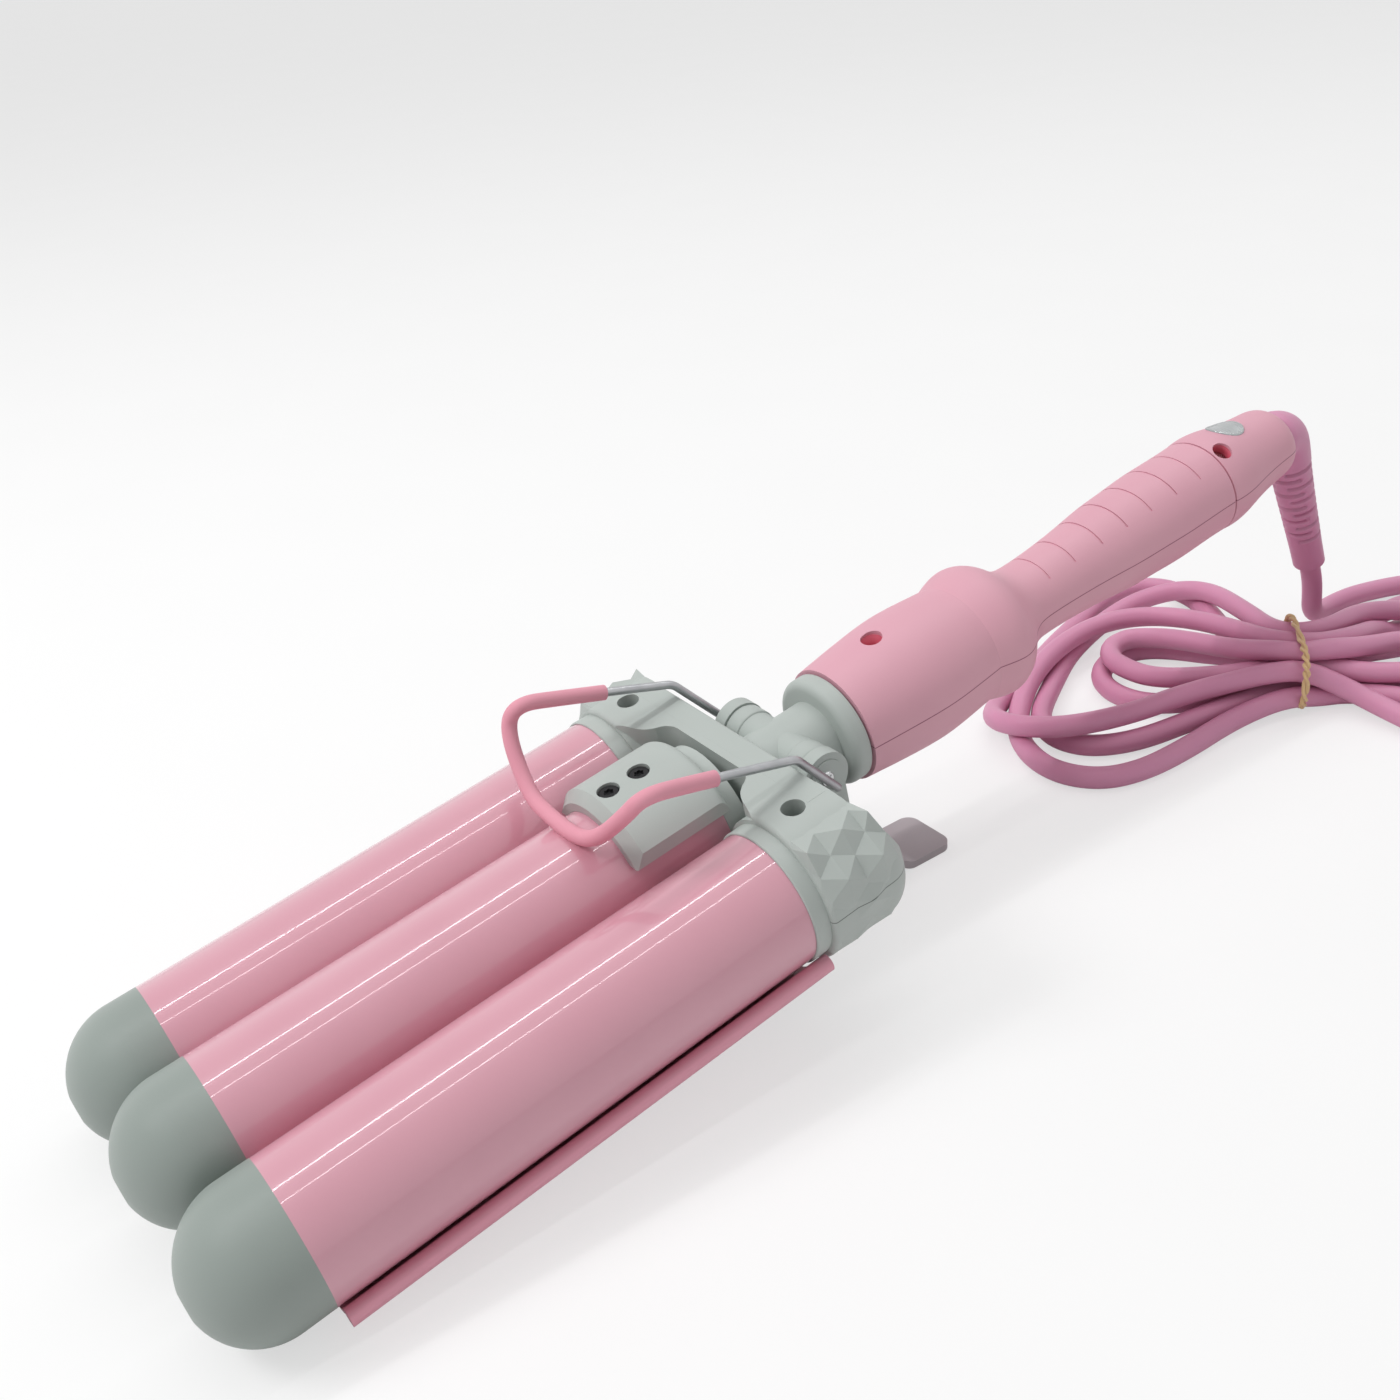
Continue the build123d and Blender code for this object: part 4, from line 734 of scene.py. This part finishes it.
def make_facets(side):
    """Relief of flat triangles wrapped on one shoulder.

    The corners are a triangular lattice of columns along X and rows round the barrel's axis, each
    column half a row from the last. Every third corner is raised to a peak, the outermost corners
    sink into the yoke, and each triangle of neighbouring corners is one flat facet. Corners past
    the yoke's leaning rear face are drawn back to it.
    """
    column, row = np.meshgrid(np.arange(*FACET_COLUMNS), np.arange(*FACET_ROWS), indexing="ij")
    x = np.clip(YOKE_FRONT + FACET_START + column * FACET_COLUMN,
                YOKE_FRONT + FACET_MARGIN, SHOULDER_REAR - FACET_MARGIN)
    angle = (row + column / 2) * FACET_EDGE / YOKE_RADIUS
    x = np.minimum(x, REAR_EDGE[0] + (REAR_EDGE[1] - YOKE_RADIUS * np.sin(angle)) * REAR_LEAN)
    degrees = np.degrees(angle)
    kept = (degrees > FACET_ANGLES[0]) & (degrees < FACET_ANGLES[1])
    padded = np.pad(kept, 1)
    inner = kept.copy()
    for i, j in ((0, 1), (1, 0), (1, -1), (0, -1), (-1, 0), (-1, 1)):
        inner &= padded[1 + i:1 + i + kept.shape[0], 1 + j:1 + j + kept.shape[1]]
    peak = inner & ((column - row) % 3 == 0) & (x < PEAK_REAR) & (degrees < PEAK_TOP)
    radius = shoulder_radius(x) + np.where(inner, FACET_LIFT, -FACET_SINK) + FACET_RISE * peak
    y = BARREL_PITCH + radius * np.cos(angle)
    points = on_table(np.stack([x, side * y, radius * np.sin(angle)], -1)).reshape(-1, 3)
    index = np.arange(kept.size).reshape(kept.shape)
    a, b, c, d = index[:-1, :-1], index[1:, :-1], index[1:, 1:], index[:-1, 1:]
    faces = np.concatenate([np.stack(three, -1).reshape(-1, 3) for three in ((a, b, d), (b, c, d))])
    faces = faces[kept.ravel()[faces].all(1)]
    used, renumbered = np.unique(faces, return_inverse=True)
    faces = renumbered.reshape(faces.shape)
    if side > 0:
        faces = faces[:, ::-1]
    mesh = bpy.data.meshes.new("facets")
    mesh.from_pydata(points[used].tolist(), [], faces.tolist())
    mesh.materials.append(yoke_pbt)
    relief = placed("shoulder_facets_" + ("far" if side > 0 else "near"), mesh)
    wall = relief.modifiers.new("wall", "SOLIDIFY")
    wall.thickness = FACET_WALL * MM
    wall.offset = -1
    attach(relief, "main")


# ---------------------------------------------------------------- small parts
# Radius about the pivot and distance from the tool's middle plane.
CUP_PROFILE = ((0, 9.0), (6.2, 9.0), (6.35, 9.6), (6.35, 13.3), (6.1, 13.75), (5.6, 13.85),
               (0, 13.85))


def make_spring_cups():
    """Plain cups over the closing springs, turned about the pivot and set against the neck."""
    cup, origin = turned(CUP_PROFILE, 64), (PIVOT[0], 0, PIVOT[1])
    parts = [(on_table(stood(cup, origin, (1, 0, 0), (0, 0, 1), (0, side, 0))), False)
             for side in (-1, 1)]
    cups = skin("spring_cups", parts, sage_pbt)
    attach(cups, "main")


HANDLE_AXIS = 3.0
# Each well's place on the handle's axis, its lean round that axis and its bottom and top.
WELLS = (((181.0, 0.0, HANDLE_AXIS), 0.0, 4.05, 16.2),
         ((307.0, 0.0, HANDLE_AXIS), 29.5, 8.55, 13.3))
WELL_OUTER, WELL_INNER = 2.79, 2.68


def make_wells(material):
    """Darker red-pink walls of the screw wells: a thin tube in each, on the screw's axis."""
    parts = []
    for origin, lean, low, high in WELLS:
        tube = turned([(WELL_OUTER, low), (WELL_OUTER, high), (WELL_INNER, high),
                       (WELL_INNER, low)], 48)
        c, s = math.cos(math.radians(lean)), math.sin(math.radians(lean))
        parts.append((on_table(stood(tube, origin, (1, 0, 0), (0, c, s), (0, -s, c))), True))
    wells = skin("handle_screw_wells", parts, material)
    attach(wells, "main")


# The turned end's radius about the handle's axis, by X.
END_SHAPE = ((303.6, 14.0), (311.0, 14.0), (318.0, 12.7), (325.0, 11.6), (331.0, 11.0),
             (335.0, 10.3), (337.5, 8.2))
# The badge's X, Y and radius.
BADGE = (317.6, 0.4, 5.3)
# The badge's section: share of its radius, and height over the handle.
BADGE_PROFILE = ((0.0, -0.6), (1.0, -0.6), (1.0, 0.3), (0.96, 0.42), (0.88, 0.45), (0.84, 0.36),
                 (0.8, 0.34), (0.6, 0.34), (0.4, 0.34), (0.2, 0.34), (0.0, 0.34))


def make_badge(material):
    """Round badge laid on the handle's end: a disc in plan whose height follows the turned end."""
    x0, y0, size = BADGE
    grid = turned([(r * size, h) for r, h in BADGE_PROFILE], 72)
    x, y = x0 + grid[..., 0], y0 + grid[..., 1]
    around = np.interp(x, *zip(*END_SHAPE))
    z = HANDLE_AXIS + np.sqrt(around ** 2 - y ** 2) + grid[..., 2]
    badge = skin("round_badge", [(on_table(np.stack([x, y, z], -1)), False)], material)
    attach(badge, "main")
    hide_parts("badge")


# ---------------------------------------------------------------- strain relief
RELIEF_CONTROLS = ((330.0, 0.0, 3.0), (333.0, 0.0, 3.0), (338.5, 0.0, 3.0), (343.0, 0.0, 1.6),
                   (345.6, 0.0, -4.5), (347.6, 0.0, -14.5), (350.5, 0.0, -27.0),
                   (353.0, 0.0, -37.5), (355.0, 0.0, -46.1), (356.2, 0.0, -51.4))
# The section's radius by the distance along the line.
RELIEF_RADII = ((0.0, 5.9), (6.1, 5.9), (6.3, 7.6), (8.0, 7.8), (13.0, 7.3), (18.0, 6.7),
                (24.0, 6.15), (40.0, 5.5), (56.0, 4.95), (80.0, 4.6))
RELIEF_STEPS, RELIEF_AROUND = 34, 88
# Slots: place of the first, pitch and count, then the edges of their width and of their reach
# round the section, and their depth.
RELIEF_SLOTS = (23.0, 2.75, 11)
SLOT_WIDTH, SLOT_REACH, SLOT_DEPTH = (0.4, 0.6), (0.34, 0.46), 2.1


def make_relief():
    """Strain relief: a round section carried along a bent line, with slots cut across it.

    The radius is read from a table along the line. A slot's depth is full within half its width
    along the line and within its reach round the section; odd slots are turned a quarter round.
    """
    line = blended(RELIEF_CONTROLS, RELIEF_STEPS)
    run = np.concatenate([[0], np.cumsum(np.linalg.norm(np.diff(line, axis=0), axis=1))])
    tangent = np.gradient(line, axis=0)
    tangent /= np.linalg.norm(tangent, axis=1)[:, None]
    side = np.array([0.0, 1.0, 0.0])
    up = np.cross(tangent, side)
    angle = np.linspace(0, 2 * math.pi, RELIEF_AROUND, endpoint=False)
    radius = np.interp(run, *zip(*RELIEF_RADII))[:, None] + 0 * angle
    first, pitch, count = RELIEF_SLOTS
    place = (run - first) / pitch
    nearest = np.clip(np.round(place), 0, count - 1)
    across = np.abs(place - nearest) * pitch
    reach = np.abs(np.cos(angle[None, :] - nearest[:, None] % 2 * math.pi / 2))
    cut = (1 - ramp(across, *SLOT_WIDTH))[:, None] * ramp(reach, *SLOT_REACH)
    radius = radius - SLOT_DEPTH * cut
    ring = np.cos(angle)[None, :, None] * side + np.sin(angle)[None, :, None] * up[:, None]
    grid = line[:, None] + radius[..., None] * ring
    grid = np.concatenate([grid[:1] * 0 + line[0], grid, grid[-1:] * 0 + line[-1]])
    relief = skin("slotted_strain_relief", [(on_table(grid), False)], cord_pvc)
    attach(relief, "cord")
    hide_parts("strain_relief")


# ---------------------------------------------------------------- light and floor
# The surround's strength where no eye or mirror sees it, and the share of glow in the seen floor.
WORLD_LEVEL, FLOOR_PALENESS = 0.44, 0.6
FLOOR_HALF, FLOOR_DROP = 12.0, 0.0002
# Name, place, aim, size, watts and whether glossy surfaces mirror it: the strips draw the thin
# long highlights of the barrels.
LAMPS = (("key_lamp", (-0.85, 0.35, 0.95), (-0.05, 0.0, 0.0), (0.5, 0.4), 6.0, False),
         ("upper_strip", (-0.05, 0.3, 1.05), (-0.05, 0.0, 0.0), (2.2, 0.035), 4.4, True),
         ("lower_strip", (0.05, -0.12, 1.2), (0.05, 0.0, 0.0), (2.2, 0.02), 2.2, True))


def make_studio():
    """Pale floor, even white surround, one key lamp above the far left and two long strips."""
    mesh = bpy.data.meshes.new("floor")
    corners = [(x * FLOOR_HALF, y * FLOOR_HALF, -FLOOR_DROP)
               for x, y in ((-1, -1), (1, -1), (1, 1), (-1, 1))]
    mesh.from_pydata(corners, [], [(0, 1, 2, 3)])
    floor = placed("floor", mesh)
    material, tree, shader = blank("floor_white_card", Roughness=0.9)
    shade(tree, shader, "#F2F2F2", "#F6F6F6", 60.0)
    rays = add(tree, "ShaderNodeLightPath")
    part = add(tree, "ShaderNodeMath", {0: (rays, "Is Camera Ray")}, {1: FLOOR_PALENESS},
               operation="MULTIPLY")
    glow = add(tree, "ShaderNodeEmission", sets={"Color": (1, 1, 1, 1), "Strength": 1.0})
    card = add(tree, "ShaderNodeMixShader",
               {0: (part, "Value"), 1: (shader, "BSDF"), 2: (glow, "Emission")})
    tree.links.new(card.outputs[0], tree.nodes["Material Output"].inputs["Surface"])
    mesh.materials.append(material)

    world = bpy.data.worlds.new("surround")
    bpy.context.scene.world = world
    world.use_nodes = True
    tree = world.node_tree
    surround = tree.nodes["Background"]
    surround.inputs["Color"].default_value = (1, 1, 1, 1)
    rays = add(tree, "ShaderNodeLightPath")
    seen = add(tree, "ShaderNodeMath", {0: (rays, "Is Camera Ray"), 1: (rays, "Is Glossy Ray")},
               operation="MAXIMUM")
    seen = add(tree, "ShaderNodeMath", {0: (seen, "Value"), 1: (rays, "Is Transmission Ray")},
               operation="MAXIMUM")
    level = add(tree, "ShaderNodeMapRange", {"Value": (seen, "Value")},
                {"To Min": WORLD_LEVEL, "To Max": 1.0})
    tree.links.new(level.outputs["Result"], surround.inputs["Strength"])

    for name, place, aim, size, power, mirrored in LAMPS:
        lamp = bpy.data.lights.new(name, "AREA")
        lamp.energy = power
        lamp.shape = "RECTANGLE"
        lamp.size, lamp.size_y = size
        light = placed(name, lamp)
        light.location = place
        light.visible_glossy = mirrored
        light.rotation_euler = (Vector(aim) - Vector(place)).to_track_quat("-Z", "Y").to_euler()


make_studio()
cord, route = make_cord()
make_tie(tie_elastic())
make_screws()
make_stand(steel)
make_yoke_rear()
for side in (-1, 1):
    make_facets(side)
make_spring_cups()
make_wells(well_darker_pink)
make_badge(spun)
make_relief()
